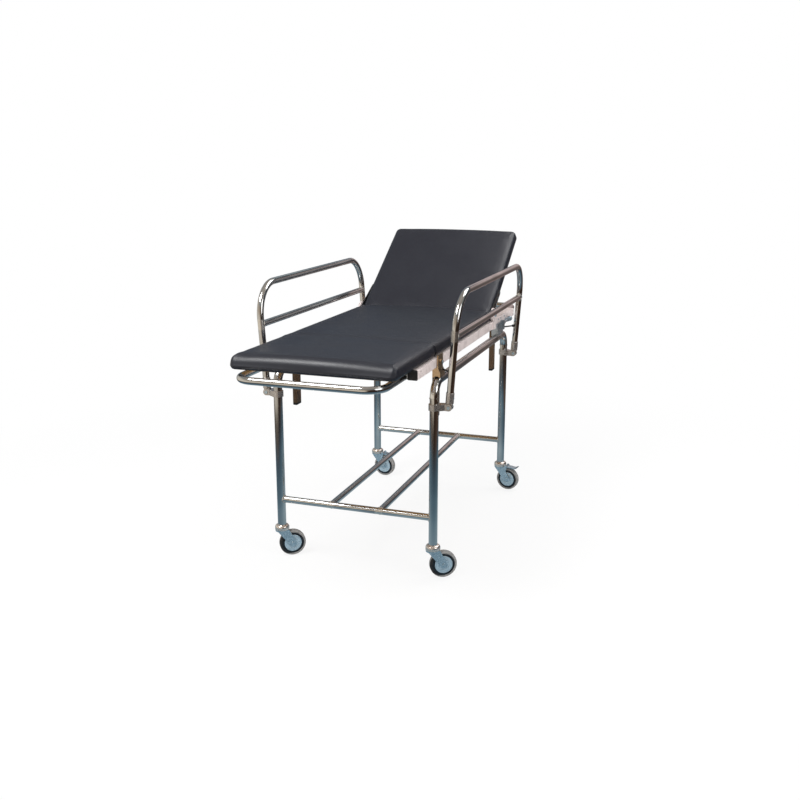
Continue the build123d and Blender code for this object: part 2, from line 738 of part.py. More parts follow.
def member_cap(side, end):
    """A plastic cap with a plug, in the end of a side member."""
    x = side * (MEMBER_OUTER_X - MEMBER_W / 2)
    z = MEMBER_Z + MEMBER_W / 2
    face = along(x, z, end * (MEMBER_HALF_L - CAP_T))
    inner = MEMBER_W - 2 * MEMBER_WALL
    with BuildPart() as cap:
        with BuildSketch(face):
            RectangleRounded(MEMBER_W, MEMBER_W, MEMBER_CORNER)
        extrude(amount=end * CAP_T)
        with BuildSketch(face):
            RectangleRounded(inner, inner, MEMBER_CORNER - MEMBER_WALL)
        extrude(amount=-end * CAP_PLUG_L)
        chamfer(cap.faces().sort_by(Axis.Y)[-1 if end > 0 else 0].edges(), CAP_T / 3)
    return cap.part


def post_tip(side, end):
    """A plastic foot with a plug, under a post."""
    x = side * POST_X
    y = end * POST_Y
    z = MEMBER_Z - POST_LENGTH
    with BuildPart() as tip:
        with BuildSketch(Plane((x, y, z - POST_TIP_H))):
            RectangleRounded(POST_W, POST_L, POST_CORNER)
        extrude(amount=POST_TIP_H)
        chamfer(tip.faces().sort_by(Axis.Z)[0].edges(), POST_TIP_H / 4)
        with BuildSketch(Plane((x, y, z))):
            RectangleRounded(POST_W - 2 * POST_WALL, POST_L - 2 * POST_WALL, POST_CORNER - POST_WALL)
        extrude(amount=POST_TIP_PLUG_H)
    return tip.part


def cross_member(y):
    """A square-edged tube between the side members, notched round a loop's tubes if they pass it."""
    z = MEMBER_Z + MEMBER_W / 2
    passes_loop = abs(y) + CROSS_MEMBER_W / 2 > LOOP_ROOT
    with BuildPart() as member:
        with BuildSketch(across(y, z, -MEMBER_INNER_X)):
            RectangleRounded(CROSS_MEMBER_W, MEMBER_W, MEMBER_CORNER)
            inner_w = CROSS_MEMBER_W - 2 * MEMBER_WALL
            inner_h = MEMBER_W - 2 * MEMBER_WALL
            RectangleRounded(inner_w, inner_h, MEMBER_CORNER - MEMBER_WALL, mode=Mode.SUBTRACT)
        extrude(amount=2 * MEMBER_INNER_X)
        if passes_loop:
            for side in SIDES.values():
                with BuildSketch(front_view(y)):
                    with Locations((side * LOOP_X, LOOP_Z)):
                        Circle(LOOP_D / 2)
                    with Locations((side * (LOOP_X + LOOP_D / 4), LOOP_Z - LOOP_D / 2)):
                        Rectangle(LOOP_D / 2, LOOP_D)
                extrude(amount=CROSS_MEMBER_W, both=True, mode=Mode.SUBTRACT)
    return member.part


def end_loop(end):
    """The bent tube that stands out past one end of the stretcher top."""
    root = end * LOOP_ROOT
    reach = end * LOOP_REACH
    corners = [(-LOOP_X, root), (-LOOP_X, reach), (LOOP_X, reach), (LOOP_X, root)]
    return bent_tube(Plane((0, 0, LOOP_Z)), corners, LOOP_BEND, LOOP_D)


def post(side, end):
    """A flat tube under a side member: one of the four feet of the stretcher top."""
    inner = (POST_W - 2 * POST_WALL, POST_L - 2 * POST_WALL)
    with BuildPart() as foot:
        with BuildSketch(Plane((side * POST_X, end * POST_Y, MEMBER_Z - POST_LENGTH))):
            RectangleRounded(POST_W, POST_L, POST_CORNER)
            RectangleRounded(*inner, POST_CORNER - POST_WALL, mode=Mode.SUBTRACT)
        extrude(amount=POST_LENGTH)
    return foot.part


# Cushions, boards and backrest


def lying(z):
    """The side view of a part that lies flat at a level: its own x runs headwards, its own y up."""
    return Plane((0, 0, z), x_dir=(0, 1, 0), z_dir=(1, 0, 0))


def board(view, start, end, floor):
    """A flat board, from start to end along the side view."""
    with BuildPart() as panel:
        with BuildSketch(view):
            with Locations(((start + end) / 2, floor + BOARD_T / 2)):
                Rectangle(end - start, BOARD_T)
        extrude(amount=CUSHION_HALF_W - BOARD_INSET, both=True)
    return panel.part


def cushion(view, start, end, floor, corners):
    """A crowned cushion over its board; corners gives the plan radius at its start and its end.

    A start that has no radius keeps its edges sharp.
    """
    section = Plane(view.from_local_coords(Vector(start, floor, 0)), x_dir=(-1, 0, 0), z_dir=view.x_dir)
    half = CUSHION_HALF_W
    with BuildPart() as pad:
        with BuildSketch(section):
            with BuildLine():
                Polyline((-half, CUSHION_EDGE_H), (-half, 0), (half, 0), (half, CUSHION_EDGE_H))
                ThreePointArc((half, CUSHION_EDGE_H), (0, CUSHION_CROWN_H), (-half, CUSHION_EDGE_H))
            make_face()
        extrude(amount=end - start)
        for place, radius in ((0, corners[0]), (-1, corners[1])):
            if radius:
                uprights = pad.edges().filter_by(Axis(view.origin, view.y_dir))
                fillet(uprights.group_by(Axis(view.origin, view.x_dir))[place], radius)
        rims = pad.faces().sort_by(Axis(view.origin, view.y_dir))[-1].edges()
        if not corners[0]:
            rims = rims.sort_by(Axis(view.origin, view.x_dir))[1:]
        fillet(rims, CUSHION_EDGE_ROUND)
    return pad.part


def over_board(pad, panel):
    """A cushion with the pocket that its board lies in."""
    with BuildPart() as covered:
        add(pad)
        add(panel, mode=Mode.SUBTRACT)
    return covered.part


def back_cushion(view, panel, screws):
    """The back cushion: its foot end is round about the hinge axis, so that it clears the deck."""
    pad = cushion(view, -BACK_FRONT_R, BACK_LENGTH, -BACK_FRONT_R, (0, CUSHION_CORNER))
    with BuildPart() as rounded:
        add(pad)
        with BuildSketch(view):
            Circle(BACK_FRONT_R)
            with Locations((BACK_LENGTH / 2, CUSHION_CROWN_H / 2 - BACK_FRONT_R)):
                Rectangle(BACK_LENGTH, CUSHION_CROWN_H)
        extrude(amount=CUSHION_HALF_W, both=True, mode=Mode.INTERSECT)
        add(panel, mode=Mode.SUBTRACT)
        add(screws, mode=Mode.SUBTRACT)
    return rounded.part


def raised(piece):
    """A piece of the back that was made lying about the pivot, tilted into its place."""
    return Pos(0, BACK_PIVOT_Y, BACK_PIVOT_Z) * Rot(BACK_ANGLE, 0, 0) * piece


def hinge_plate(side):
    """The fixed leaf on a side member, with the ratchet drum round the pivot."""
    shoulder = radians(HINGE_SHOULDER_ANGLE)
    shoulder_y = BACK_PIVOT_Y + HINGE_PLATE_EYE_R * cos(shoulder)
    shoulder_z = BACK_PIVOT_Z + HINGE_PLATE_EYE_R * sin(shoulder)
    outline = [
        (HINGE_PLATE_START, MEMBER_Z),
        (HINGE_PLATE_END, MEMBER_Z),
        (HINGE_PLATE_END, DECK_Z + HINGE_PLATE_RISE),
        (BACK_PIVOT_Y + HINGE_SHOULDER_L, DECK_Z + HINGE_PLATE_RISE),
        (shoulder_y, shoulder_z),
        (BACK_PIVOT_Y - HINGE_PLATE_EYE_R, BACK_PIVOT_Z),
    ]
    drum_x = ARM_OUTER_X + GAP
    with BuildPart() as leaf:
        with BuildSketch(across(0, 0, side * MEMBER_OUTER_X)):
            Polygon(*outline, align=None)
            with Locations((BACK_PIVOT_Y, BACK_PIVOT_Z)):
                Circle(HINGE_PLATE_EYE_R)
        extrude(amount=side * HINGE_PLATE_T)
        with BuildSketch(across(BACK_PIVOT_Y, BACK_PIVOT_Z, side * drum_x)):
            Circle(DRUM_D / 2)
        extrude(amount=side * (MEMBER_OUTER_X - drum_x))
        with BuildSketch(across(BACK_PIVOT_Y, BACK_PIVOT_Z, side * HINGE_FACE_X)):
            Circle(DRUM_STEP_D / 2)
        extrude(amount=side * DRUM_STEP_T)
        with BuildSketch(across(BACK_PIVOT_Y, BACK_PIVOT_Z, side * drum_x)):
            Circle(HINGE_BOLT_D / 2)
        extrude(amount=side * (HINGE_FACE_X + DRUM_STEP_T - drum_x), mode=Mode.SUBTRACT)
    return leaf.part


def hinge_bolt(side):
    """The bolt that the arm turns on, with its head outside the plate."""
    inner_x = CUSHION_HALF_W + GAP
    head_x = HINGE_FACE_X + DRUM_STEP_T
    with BuildPart() as bolt:
        with BuildSketch(across(BACK_PIVOT_Y, BACK_PIVOT_Z, side * inner_x)):
            Circle(HINGE_BOLT_D / 2)
        extrude(amount=side * (head_x - inner_x))
        with BuildSketch(across(BACK_PIVOT_Y, BACK_PIVOT_Z, side * head_x)):
            RegularPolygon(HINGE_BOLT_HEAD_D / 2, 6)
        extrude(amount=side * HINGE_BOLT_HEAD_H)
    return bolt.part


def hinge_arm(view, side):
    """The moving leaf on the edge of the back, from the bolt to its screws."""
    with BuildPart() as arm:
        with BuildSketch(view.offset(side * CUSHION_HALF_W)):
            Circle(ARM_EYE_R)
            with Locations((ARM_LENGTH, -ARM_TIP_DROP)):
                Circle(ARM_TIP_R)
            make_hull()
            Circle(HINGE_BOLT_D / 2 + FIT, mode=Mode.SUBTRACT)
        extrude(amount=side * ARM_T)
        with BuildSketch(view.offset(side * ARM_OUTER_X)):
            with Locations(*[(u, -ARM_SCREW_DROP) for u in ARM_SCREWS_U]):
                Circle(ARM_SCREW_HEAD_D / 2)
        extrude(amount=side * ARM_SCREW_HEAD_H)
        with BuildSketch(view.offset(side * CUSHION_HALF_W)):
            with Locations(*[(u, -ARM_SCREW_DROP) for u in ARM_SCREWS_U]):
                Circle(ARM_SCREW_D / 2)
        extrude(amount=-side * ARM_SCREW_L)
    return arm.part


# Latch bolts


def latch_bolt(side):
    """A round bolt that slides towards the foot end into the keeper, with a knob."""
    with BuildPart() as bolt:
        with BuildSketch(along(side * LATCH_X, LATCH_Z, LATCH_TIP_Y)):
            Circle(LATCH_D / 2)
        extrude(amount=LATCH_LENGTH)
        chamfer(bolt.edges().filter_by(GeomType.CIRCLE).sort_by(Axis.Y)[0], LATCH_D / 8)
        with BuildSketch(along(side * LATCH_X, LATCH_Z, LATCH_TIP_Y + LATCH_LENGTH)):
            Circle(LATCH_KNOB_D / 2)
        extrude(amount=LATCH_KNOB_L)
        knob_rims = bolt.edges().filter_by(GeomType.CIRCLE).sort_by(SortBy.RADIUS)[-2:]
        fillet(knob_rims, LATCH_KNOB_L / 5)
    return bolt.part


def bolt_guide(side, start, base_x):
    """A lug on the stretcher top that a latch bolt slides in."""
    with BuildPart() as guide:
        with BuildSketch(front_view(start + GUIDE_T)):
            with Locations((side * LATCH_X, LATCH_Z)):
                Circle(GUIDE_R)
            with Locations((side * (base_x + OVERLAP), LATCH_Z)):
                Rectangle(2 * OVERLAP, 2 * GUIDE_R)
            make_hull()
            with Locations((side * LATCH_X, LATCH_Z)):
                Circle(LATCH_D / 2 + FIT, mode=Mode.SUBTRACT)
        extrude(amount=GUIDE_T)
    return guide.part


def guide_base(start):
    """What a guide stands on: the hinge plate, or the side member past its end."""
    return HINGE_FACE_X if start < HINGE_PLATE_END else MEMBER_OUTER_X


def keep(name, *solids):
    """Label a finished piece, or a group of like pieces, and write its file."""
    piece = solids[0] if len(solids) == 1 else Compound(children=list(solids))
    piece.label = name
    export_step(piece, f"parts/{name}.step")


os.makedirs("parts", exist_ok=True)

for corner, side, end in CORNERS:
    keep(f"leg_{corner}", leg(side * LEG_X, end * LEG_Y))
    view = caster_side(corner, side * LEG_X, end * LEG_Y)
    keep(f"caster_fork_{corner}", caster_fork(view, end > 0))
    keep(f"caster_axle_{corner}", caster_axle(view))
    keep(f"wheel_hub_{corner}", wheel_hub(view))
    keep(f"wheel_tyre_{corner}", wheel_tyre(view))
    if end > 0:
        keep(f"brake_pedal_{corner}", brake_pedal(view))

for name, side in SIDES.items():
    keep(f"hoop_{name}", hoop(side * LEG_X))
    keep(f"rail_frame_{name}", rail_frame(side))
    keep(f"rail_mid_bar_{name}", rail_mid_bar(side))
    keep(f"rail_end_fittings_{name}", *[rail_end_fitting(side, end) for end in ENDS.values()])
    keep(f"side_member_{name}", side_member(side))
    keep(f"latch_bolt_{name}", latch_bolt(side))

for name, end in ENDS.items():
    keep(f"cross_bar_{name}", cross_bar(end * LEG_Y))

keep("long_bars", long_bars())
keep("caster_races", *[caster_race(side * LEG_X, end * LEG_Y) for _, side, end in CORNERS])
keep("rail_lugs", *[rail_lug(side, end) for _, side, end in CORNERS])
keep("rail_hinge_pins", *[rail_pin(side, end) for _, side, end in CORNERS])
keep("saddles_front", *[front_saddle(side) for side in SIDES.values()])
keep("saddles_rear", *[rear_saddle(side) for side in SIDES.values()])
keep("rail_stops", *[rail_stop(side, end) for _, side, end in CORNERS])

caps = [member_cap(side, end) for _, side, end in CORNERS]
tips = [post_tip(side, end) for _, side, end in CORNERS]
keep("plastic_caps", *caps, *tips)
end_cross_y = MEMBER_HALF_L - CROSS_MEMBER_W / 2
keep("cross_members", *[cross_member(y) for y in (-end_cross_y, MIDDLE_CROSS_Y, end_cross_y)])
keep("loop_foot", end_loop(-1))
keep("loop_head", end_loop(1))
keep("stretcher_posts", *[post(side, end) for _, side, end in CORNERS])

flat = lying(DECK_Z)
foot_start = FOOT_CUSHION_START
foot_end = SEAM_Y - SEAM_GAP / 2
seat_start = SEAM_Y + SEAM_GAP / 2
foot_board = board(flat, foot_start + BOARD_INSET, foot_end - BOARD_INSET, 0)
seat_board = board(flat, seat_start + BOARD_INSET, SEAT_CUSHION_END - BOARD_INSET, 0)
foot_pad = cushion(flat, foot_start, foot_end, 0, (CUSHION_CORNER, SEAM_CORNER))
seat_pad = cushion(flat, seat_start, SEAT_CUSHION_END, 0, (SEAM_CORNER, SEAM_CORNER))
keep("foot_cushion", over_board(foot_pad, foot_board))
keep("seat_cushion", over_board(seat_pad, seat_board))
keep("foot_board", foot_board)
keep("seat_board", seat_board)

about_pivot = lying(0)
arms = [hinge_arm(about_pivot, side) for side in SIDES.values()]
back_panel = board(about_pivot, BOARD_INSET, BACK_LENGTH - BOARD_INSET, -BACK_FRONT_R)
keep("back_cushion", raised(back_cushion(about_pivot, back_panel, arms)))
keep("back_board", raised(back_panel))
keep("hinge_arms", *[raised(arm) for arm in arms])
keep("hinge_plates", *[hinge_plate(side) for side in SIDES.values()])
keep("hinge_bolts", *[hinge_bolt(side) for side in SIDES.values()])
guides = []
for side in SIDES.values():
    for offset in GUIDES_FROM_TIP:
        start = LATCH_TIP_Y + offset
        guides.append(bolt_guide(side, start, guide_base(start)))
keep("bolt_guides", *guides)
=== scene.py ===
"""The looks of a stretcher trolley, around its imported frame.

Its upholstery, tube and plate finishes, welds, screws, wheel covers and studio are made here.
Sizes are in metres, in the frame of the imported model: +Z up, foot end at -Y.
"""

from math import cos, hypot, pi, radians, sin, sqrt, tau

import bmesh
import bpy
from bpy.props import FloatProperty, FloatVectorProperty, IntProperty, PointerProperty
from bpy.types import Operator, Panel, PropertyGroup
from mathutils import Matrix, Vector
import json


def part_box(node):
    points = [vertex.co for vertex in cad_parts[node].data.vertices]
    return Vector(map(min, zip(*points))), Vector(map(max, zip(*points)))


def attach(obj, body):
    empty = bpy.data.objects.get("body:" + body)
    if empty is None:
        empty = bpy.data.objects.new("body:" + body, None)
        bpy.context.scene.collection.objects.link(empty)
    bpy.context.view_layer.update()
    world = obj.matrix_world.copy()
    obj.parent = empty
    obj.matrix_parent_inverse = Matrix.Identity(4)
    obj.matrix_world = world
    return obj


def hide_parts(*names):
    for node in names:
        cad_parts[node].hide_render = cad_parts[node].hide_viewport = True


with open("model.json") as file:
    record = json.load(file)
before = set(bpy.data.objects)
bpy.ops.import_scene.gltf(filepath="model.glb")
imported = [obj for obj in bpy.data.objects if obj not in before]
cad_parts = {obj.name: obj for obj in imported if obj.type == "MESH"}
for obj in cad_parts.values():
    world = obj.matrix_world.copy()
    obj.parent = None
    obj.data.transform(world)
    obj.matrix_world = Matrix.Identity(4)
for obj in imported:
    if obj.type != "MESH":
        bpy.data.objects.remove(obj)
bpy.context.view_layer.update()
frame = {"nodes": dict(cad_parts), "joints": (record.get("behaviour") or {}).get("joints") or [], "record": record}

bl_info = {
    "name": "Stretcher Trolley Dressing",
    "version": (1, 0, 0),
    "blender": (4, 5, 0),
    "location": "View3D > Sidebar > Trolley",
    "description": "Upholstery, finishes, welds and small fittings of a stretcher trolley",
    "category": "Object",
}

MM = 0.001
SIDES = {"left": -1, "right": 1}
ENDS = {"front": -1, "rear": 1}
CORNERS = [f"{end}_{side}" for end in ENDS for side in SIDES]
RAIL_TUBE_R = 12.5 * MM
RAIL_LEAN = radians(3.8)


def linear(code):
    """A colour written as sRGB hex, as the linear RGBA that Blender's sockets hold."""
    channels = [int(code[start:start + 2], 16) / 255 for start in (1, 3, 5)]
    return (*(c / 12.92 if c <= 0.04045 else ((c + 0.055) / 1.055) ** 2.4 for c in channels), 1.0)


def colour(name, description, code):
    """A colour property with its default as sRGB hex."""
    return FloatVectorProperty(
        name=name, description=description, default=linear(code), size=4, subtype="COLOR", min=0, max=1
    )


def length(name, description, millimetres):
    """A length property with its default in millimetres."""
    return FloatProperty(
        name=name, description=description, default=millimetres * MM, min=0, unit="LENGTH", precision=4
    )


def power(name, description, watts):
    """A lamp's power in watts."""
    return FloatProperty(name=name, description=description, default=watts, unit="POWER")


# Sizes and colours that a user would change


class TrolleyColours(PropertyGroup):
    tube: colour("Tube", "Polished stainless tube", "#D2D2D0")
    tube_shade: colour("Tube shade", "Handled patches of the tube", "#B4B4B4")
    zinc: colour("Zinc", "Blue zinc plate of the casters", "#C3D3DC")
    zinc_shade: colour("Zinc shade", "Darker crystals of the zinc", "#A8BECB")
    fitting: colour("Fitting", "Turned and milled fittings", "#BDB8B4")
    # Front saddles: plated steel whose base colour holds a painted warm reflection of the brown surroundings; this
    # is not brass
    front_saddle_warm_reflection: colour("Brass", "Front saddles, warm from handling", "#C9AE8C")
    saddle: colour("Saddle", "Rear saddles, bluish plate", "#AEB9C2")
    race: colour("Race", "Caster races, bright nickel plate", "#E2D8D0")
    enamel: colour("Enamel", "Powder coat of the stretcher frame", "#E2D5D2")
    enamel_shade: colour("Enamel shade", "Scuffs in the powder coat", "#BFB2AF")
    post: colour("Post", "Brown enamel of the four posts", "#58432F")
    plastic: colour("Plastic", "Black moulded caps and knobs", "#17181B")
    rubber: colour("Rubber", "Bumpers of the rail stops", "#1E1E1F")
    vinyl: colour("Vinyl", "Charcoal upholstery vinyl", "#1B1F2B")
    # Painted shade: the darker colour laid into the valleys of the vinyl's grain
    vinyl_valley_painted_shade: colour("Vinyl shade", "Valleys of the vinyl's grain", "#131620")
    plywood: colour("Plywood", "Birch veneer under the cushions", "#B9935F")
    plywood_shade: colour("Plywood shade", "Late wood of the veneer", "#8E6A40")
    tyre: colour("Tyre", "Grey rubber tread", "#9C9B99")
    tyre_shade: colour("Tyre shade", "Worn middle of the tread", "#838281")
    wheel_centre: colour("Wheel centre", "Dark moulded nylon", "#17222B")
    wheel_cover: colour("Wheel cover", "Plated cover on each face of a wheel", "#B9CEDA")
    weld: colour("Weld", "Bright bead of the welds", "#D9D6D0")


class CushionSizes(PropertyGroup):
    edge_roll: length("Edge roll", "Radius of the padded top edge along the sides", 19)
    seam_roll: length("Seam roll", "Radius of the top edge at a seam", 4)
    end_roll: length("End roll", "Radius of the top edge at the foot and head ends", 33)
    bulge: length("Bulge", "How far the padded side stands out past its foot", 4.5)
    edge_height: length("Edge height", "Padded edge above the deck", 45)
    crown: length("Crown", "Rise of the middle above the padded edge", 9)
    side_taper: length("Side taper", "How far the side draws in at its foot", 1.5)
    tuck: length("Tuck", "Radius where the vinyl turns under the board", 3.5)
    flap: length("Flap", "Width of the vinyl stapled under the board", 34)
    swell: length("Swell", "Most that a point moves when the cushion fills", 3)
    pleat: length("Pleat", "Depth of the folds at a corner", 0.8)
    front_corner: length("Front corner", "Plan radius of an outer corner", 24)
    seam_corner: length("Seam corner", "Plan radius of a corner at a seam", 11)
    cells_across: IntProperty(name="Cells across", description="Mesh cells over the width", default=40)
    pressure: FloatProperty(name="Pressure", description="Air pressure of the filling", default=4.0)


class WeldSizes(PropertyGroup):
    bead: length("Bead", "Width of a bead", 4.2)
    ripple: length("Ripple", "Distance between the ripples of a bead", 1.9)


class FittingSizes(PropertyGroup):
    plate_screw: length("Plate screw", "Head of a screw on the hinge plates", 9)
    socket_screw: length("Socket screw", "Head of a screw in a rail socket", 6)
    staple: length("Staple", "Crown of a staple", 10)
    staple_wire: length("Staple wire", "Thickness of a staple", 1.1)
    staple_gap: length("Staple gap", "Distance from staple to staple", 28)
    cover_inner: length("Cover inner", "Inner radius of a wheel cover", 11.4)
    cover_outer: length("Cover outer", "Outer radius of a wheel cover", 32.6)
    cover_skin: length("Cover skin", "Thickness of a wheel cover", 0.8)


class StudioSizes(PropertyGroup):
    floor: length("Floor", "Half width of the floor", 14000)
    key: power("Key lamp", "Power of the soft lamp at the front left", 85)
    fill: power("Fill lamp", "Power of the soft lamp at the right", 30)
    top: power("Top lamp", "Power of the soft lamp overhead", 50)
    ambient: FloatProperty(name="Ambient", description="Light from all round", default=0.55)
    shadow: FloatProperty(
        name="Shadow", description="How much of the object's shadow the floor keeps", default=0.14
    )


# Nodes

NOISE = ("Vector", "Scale", "Detail", "Roughness")
RANGE = ("Value", "From Min", "From Max", "To Min", "To Max")


def add_node(tree, kind, inputs=None, **settings):
    """Add a node, set its attributes, link or set its inputs by name or number, and give its outputs."""
    made = tree.nodes.new(kind)
    for key, value in settings.items():
        setattr(made, key, value)
    for key, value in (inputs or {}).items():
        if isinstance(value, bpy.types.NodeSocket):
            tree.links.new(value, made.inputs[key])
        else:
            made.inputs[key].default_value = value
    return made.outputs


def empty_tree(owner):
    """The emptied node tree of a new material or world."""
    owner.use_nodes = True
    owner.node_tree.nodes.clear()
    return owner.node_tree


def new_material(name, **uniform):
    """A material with one Principled shader whose uniform values are set on its own sockets."""
    made = bpy.data.materials.new(name)
    tree = empty_tree(made)
    values = {key.replace("_", " ").title().replace("Ior", "IOR"): value for key, value in uniform.items()}
    surface = add_node(tree, "ShaderNodeBsdfPrincipled", values)[0]
    add_node(tree, "ShaderNodeOutputMaterial", {"Surface": surface})
    place = add_node(tree, "ShaderNodeTexCoord")["Object"]
    return made, tree, surface.node.inputs, place


def worn(tree, shader, place, pattern, rough, depth, grain=None, shades=None, edges=(0.35, 0.65)):
    """Wear that follows a noise of (size, detail, roughness): from one roughness and shade to another.

    The surface is raised by the depth, by the same noise or by a finer grain of (size, detail).
    Gives the colour, the roughness and the normal.
    """
    size, detail, uneven = pattern
    blotches = add_node(tree, "ShaderNodeTexNoise", dict(zip(NOISE, (place, 1 / size, detail, uneven))))[0]
    height = blotches
    if grain:
        finer = dict(zip(NOISE, (place, 1 / grain[0], grain[1], 0.5)))
        height = add_node(tree, "ShaderNodeTexNoise", finer)[0]
    normal = add_node(tree, "ShaderNodeBump", {"Height": height, "Distance": depth})[0]
    tree.links.new(normal, shader["Normal"])
    roughness = add_node(tree, "ShaderNodeMapRange", dict(zip(RANGE, (blotches, 0.35, 0.65, *rough))))[0]
    tree.links.new(roughness, shader["Roughness"])
    base = None
    if shades:
        share = add_node(tree, "ShaderNodeMapRange", dict(zip(RANGE, (blotches, *edges, 0.0, 1.0))))[0]
        mix = {0: share, 6: shades[0], 7: shades[1]}
        base = add_node(tree, "ShaderNodeMix", mix, data_type="RGBA")[2]
        tree.links.new(base, shader["Base Color"])
    return base, roughness, normal


def stainless_tube(name="polished_stainless_tube", weld_zone=None):
    """AISI 304 tube, mechanically polished: sharp reflections, softened by handling in patches.

    Where bars are welded on, a band of the tube is brushed back after welding and looks paler.
    """
    colours = bpy.context.scene.trolley_colours
    made, tree, shader, place = new_material(name, metallic=1.0)
    shades = (colours.tube, colours.tube_shade)
    scratch = (1.6 * MM, 1.0)
    base, rough, _ = worn(tree, shader, place, (0.16, 1.0, 0.5), (0.115, 0.15), 0.001 * MM, scratch, shades)
    if weld_zone:
        axis, middle, reach = weld_zone
        across = add_node(tree, "ShaderNodeSeparateXYZ", {0: place})[axis]
        out = add_node(tree, "ShaderNodeMath", {0: across}, operation="ABSOLUTE")[0]
        away = add_node(tree, "ShaderNodeMath", {0: out, 1: middle}, operation="SUBTRACT")[0]
        near = add_node(tree, "ShaderNodeMath", {0: away}, operation="ABSOLUTE")[0]
        fade = dict(zip(RANGE, (near, reach * 0.8, reach, 1.0, 0.0)))
        band = add_node(tree, "ShaderNodeMapRange", fade)[0]
        base = add_node(tree, "ShaderNodeMix", {0: band, 6: base, 7: colours.weld}, data_type="RGBA")[2]
        brushed = add_node(tree, "ShaderNodeMath", {0: band, 1: 0.22}, operation="MULTIPLY")[0]
        rough = add_node(tree, "ShaderNodeMath", {0: rough, 1: brushed}, operation="ADD")[0]
        tree.links.new(base, shader["Base Color"])
        tree.links.new(rough, shader["Roughness"])
    return made


def zinc_plate():
    """Pressed steel, blue zinc plated: a cool soft shine with faint crystals a few mm across."""
    colours = bpy.context.scene.trolley_colours
    made, tree, shader, place = new_material("blue_zinc_plate", metallic=0.85)
    crystals = add_node(tree, "ShaderNodeTexVoronoi", {"Vector": place, "Scale": 1 / (4 * MM)})["Color"]
    share = add_node(tree, "ShaderNodeSeparateColor", {0: crystals})[0]
    mix = {0: share, 6: colours.zinc, 7: colours.zinc_shade}
    base = add_node(tree, "ShaderNodeMix", mix, data_type="RGBA")[2]
    rough = add_node(tree, "ShaderNodeMapRange", dict(zip(RANGE, (share, 0.0, 1.0, 0.24, 0.38))))[0]
    grain = add_node(tree, "ShaderNodeTexNoise", dict(zip(NOISE, (place, 1 / (1.2 * MM), 2.0, 0.5))))[0]
    normal = add_node(tree, "ShaderNodeBump", {"Height": grain, "Distance": 0.02 * MM})[0]
    tree.links.new(base, shader["Base Color"])
    tree.links.new(rough, shader["Roughness"])
    tree.links.new(normal, shader["Normal"])
    return made


def machined_fitting(name, base, metallic):
    """Cast and machined fittings, tumbled: a satin metal with small pits."""
    made, tree, shader, place = new_material(name, metallic=metallic, base_color=base)
    worn(tree, shader, place, (2.5 * MM, 3.0, 0.5), (0.20, 0.34), 0.05 * MM)
    return made


def powder_coat(name, base, shade, roughness):
    """Powder coat baked on steel: a satin skin with orange peel 2 mm across, scuffed paler or darker."""
    made, tree, shader, place = new_material(name, metallic=0.0, specular_ior_level=0.5)
    rough, peel = (roughness, roughness + 0.12), (2.2 * MM, 1.0)
    worn(tree, shader, place, (0.05, 4.0, 0.6), rough, 0.05 * MM, peel, (base, shade), (0.5, 0.75))
    return made


def moulded_plastic(name, base, roughness):
    """Injection-moulded nylon or rubber: spark-eroded grain, drawn 1 mm coarse so that it shows."""
    made, tree, shader, place = new_material(name, metallic=0.0, base_color=base)
    worn(tree, shader, place, (1.0 * MM, 2.0, 0.5), (roughness - 0.06, roughness + 0.08), 0.06 * MM)
    return made


def rubber_tyre(corner):
    """Grey thermoplastic rubber: matt, with the tread's dust in blotches a centimetre across.

    The flat sides, up to where the shoulder starts, are coloured black.
    """
    colours = bpy.context.scene.trolley_colours
    made, tree, shader, place = new_material(f"grey_rubber_tread_{corner}", metallic=0.0)
    dust, grain = (12 * MM, 4.0, 0.65), (1.5 * MM, 2.0)
    shades = (colours.tyre, colours.tyre_shade)
    tread, _, _ = worn(tree, shader, place, dust, (0.55, 0.75), 0.06 * MM, grain, shades)
    axle = joint(f"wheel_spin_{corner}")["pos_m"]
    centred = {"Vector": place, "Location": (-axle[0], 0, -axle[2]), "Scale": (1, 0, 1)}
    spoke = add_node(tree, "ShaderNodeMapping", centred)[0]
    reach = add_node(tree, "ShaderNodeVectorMath", {0: spoke}, operation="LENGTH")["Value"]
    # black on the flat faces from the axle out to 41.2 mm, grey tread beyond 42 mm
    limits = dict(zip(RANGE, (reach, 41.2 * MM, 42.0 * MM, 1.0, 0.0)))
    side = add_node(tree, "ShaderNodeMapRange", limits)[0]
    base = add_node(tree, "ShaderNodeMix", {0: side, 6: tread, 7: colours.rubber}, data_type="RGBA")[2]
    tree.links.new(base, shader["Base Color"])
    return made


def birch_plywood():
    """Rotary-cut birch plywood: long soft figure along the board, open pores, no lacquer."""
    colours = bpy.context.scene.trolley_colours
    made, tree, shader, place = new_material("birch_plywood", metallic=0.0)
    drawn = add_node(tree, "ShaderNodeMapping", {"Vector": place, "Scale": (1.0, 0.09, 1.0)})[0]
    figure, pores = (14 * MM, 4.0, 0.6), (2 * MM, 3.0)
    shades = (colours.plywood, colours.plywood_shade)
    worn(tree, shader, drawn, figure, (0.6, 0.8), 0.1 * MM, pores, shades, (0.3, 0.7))
    return made


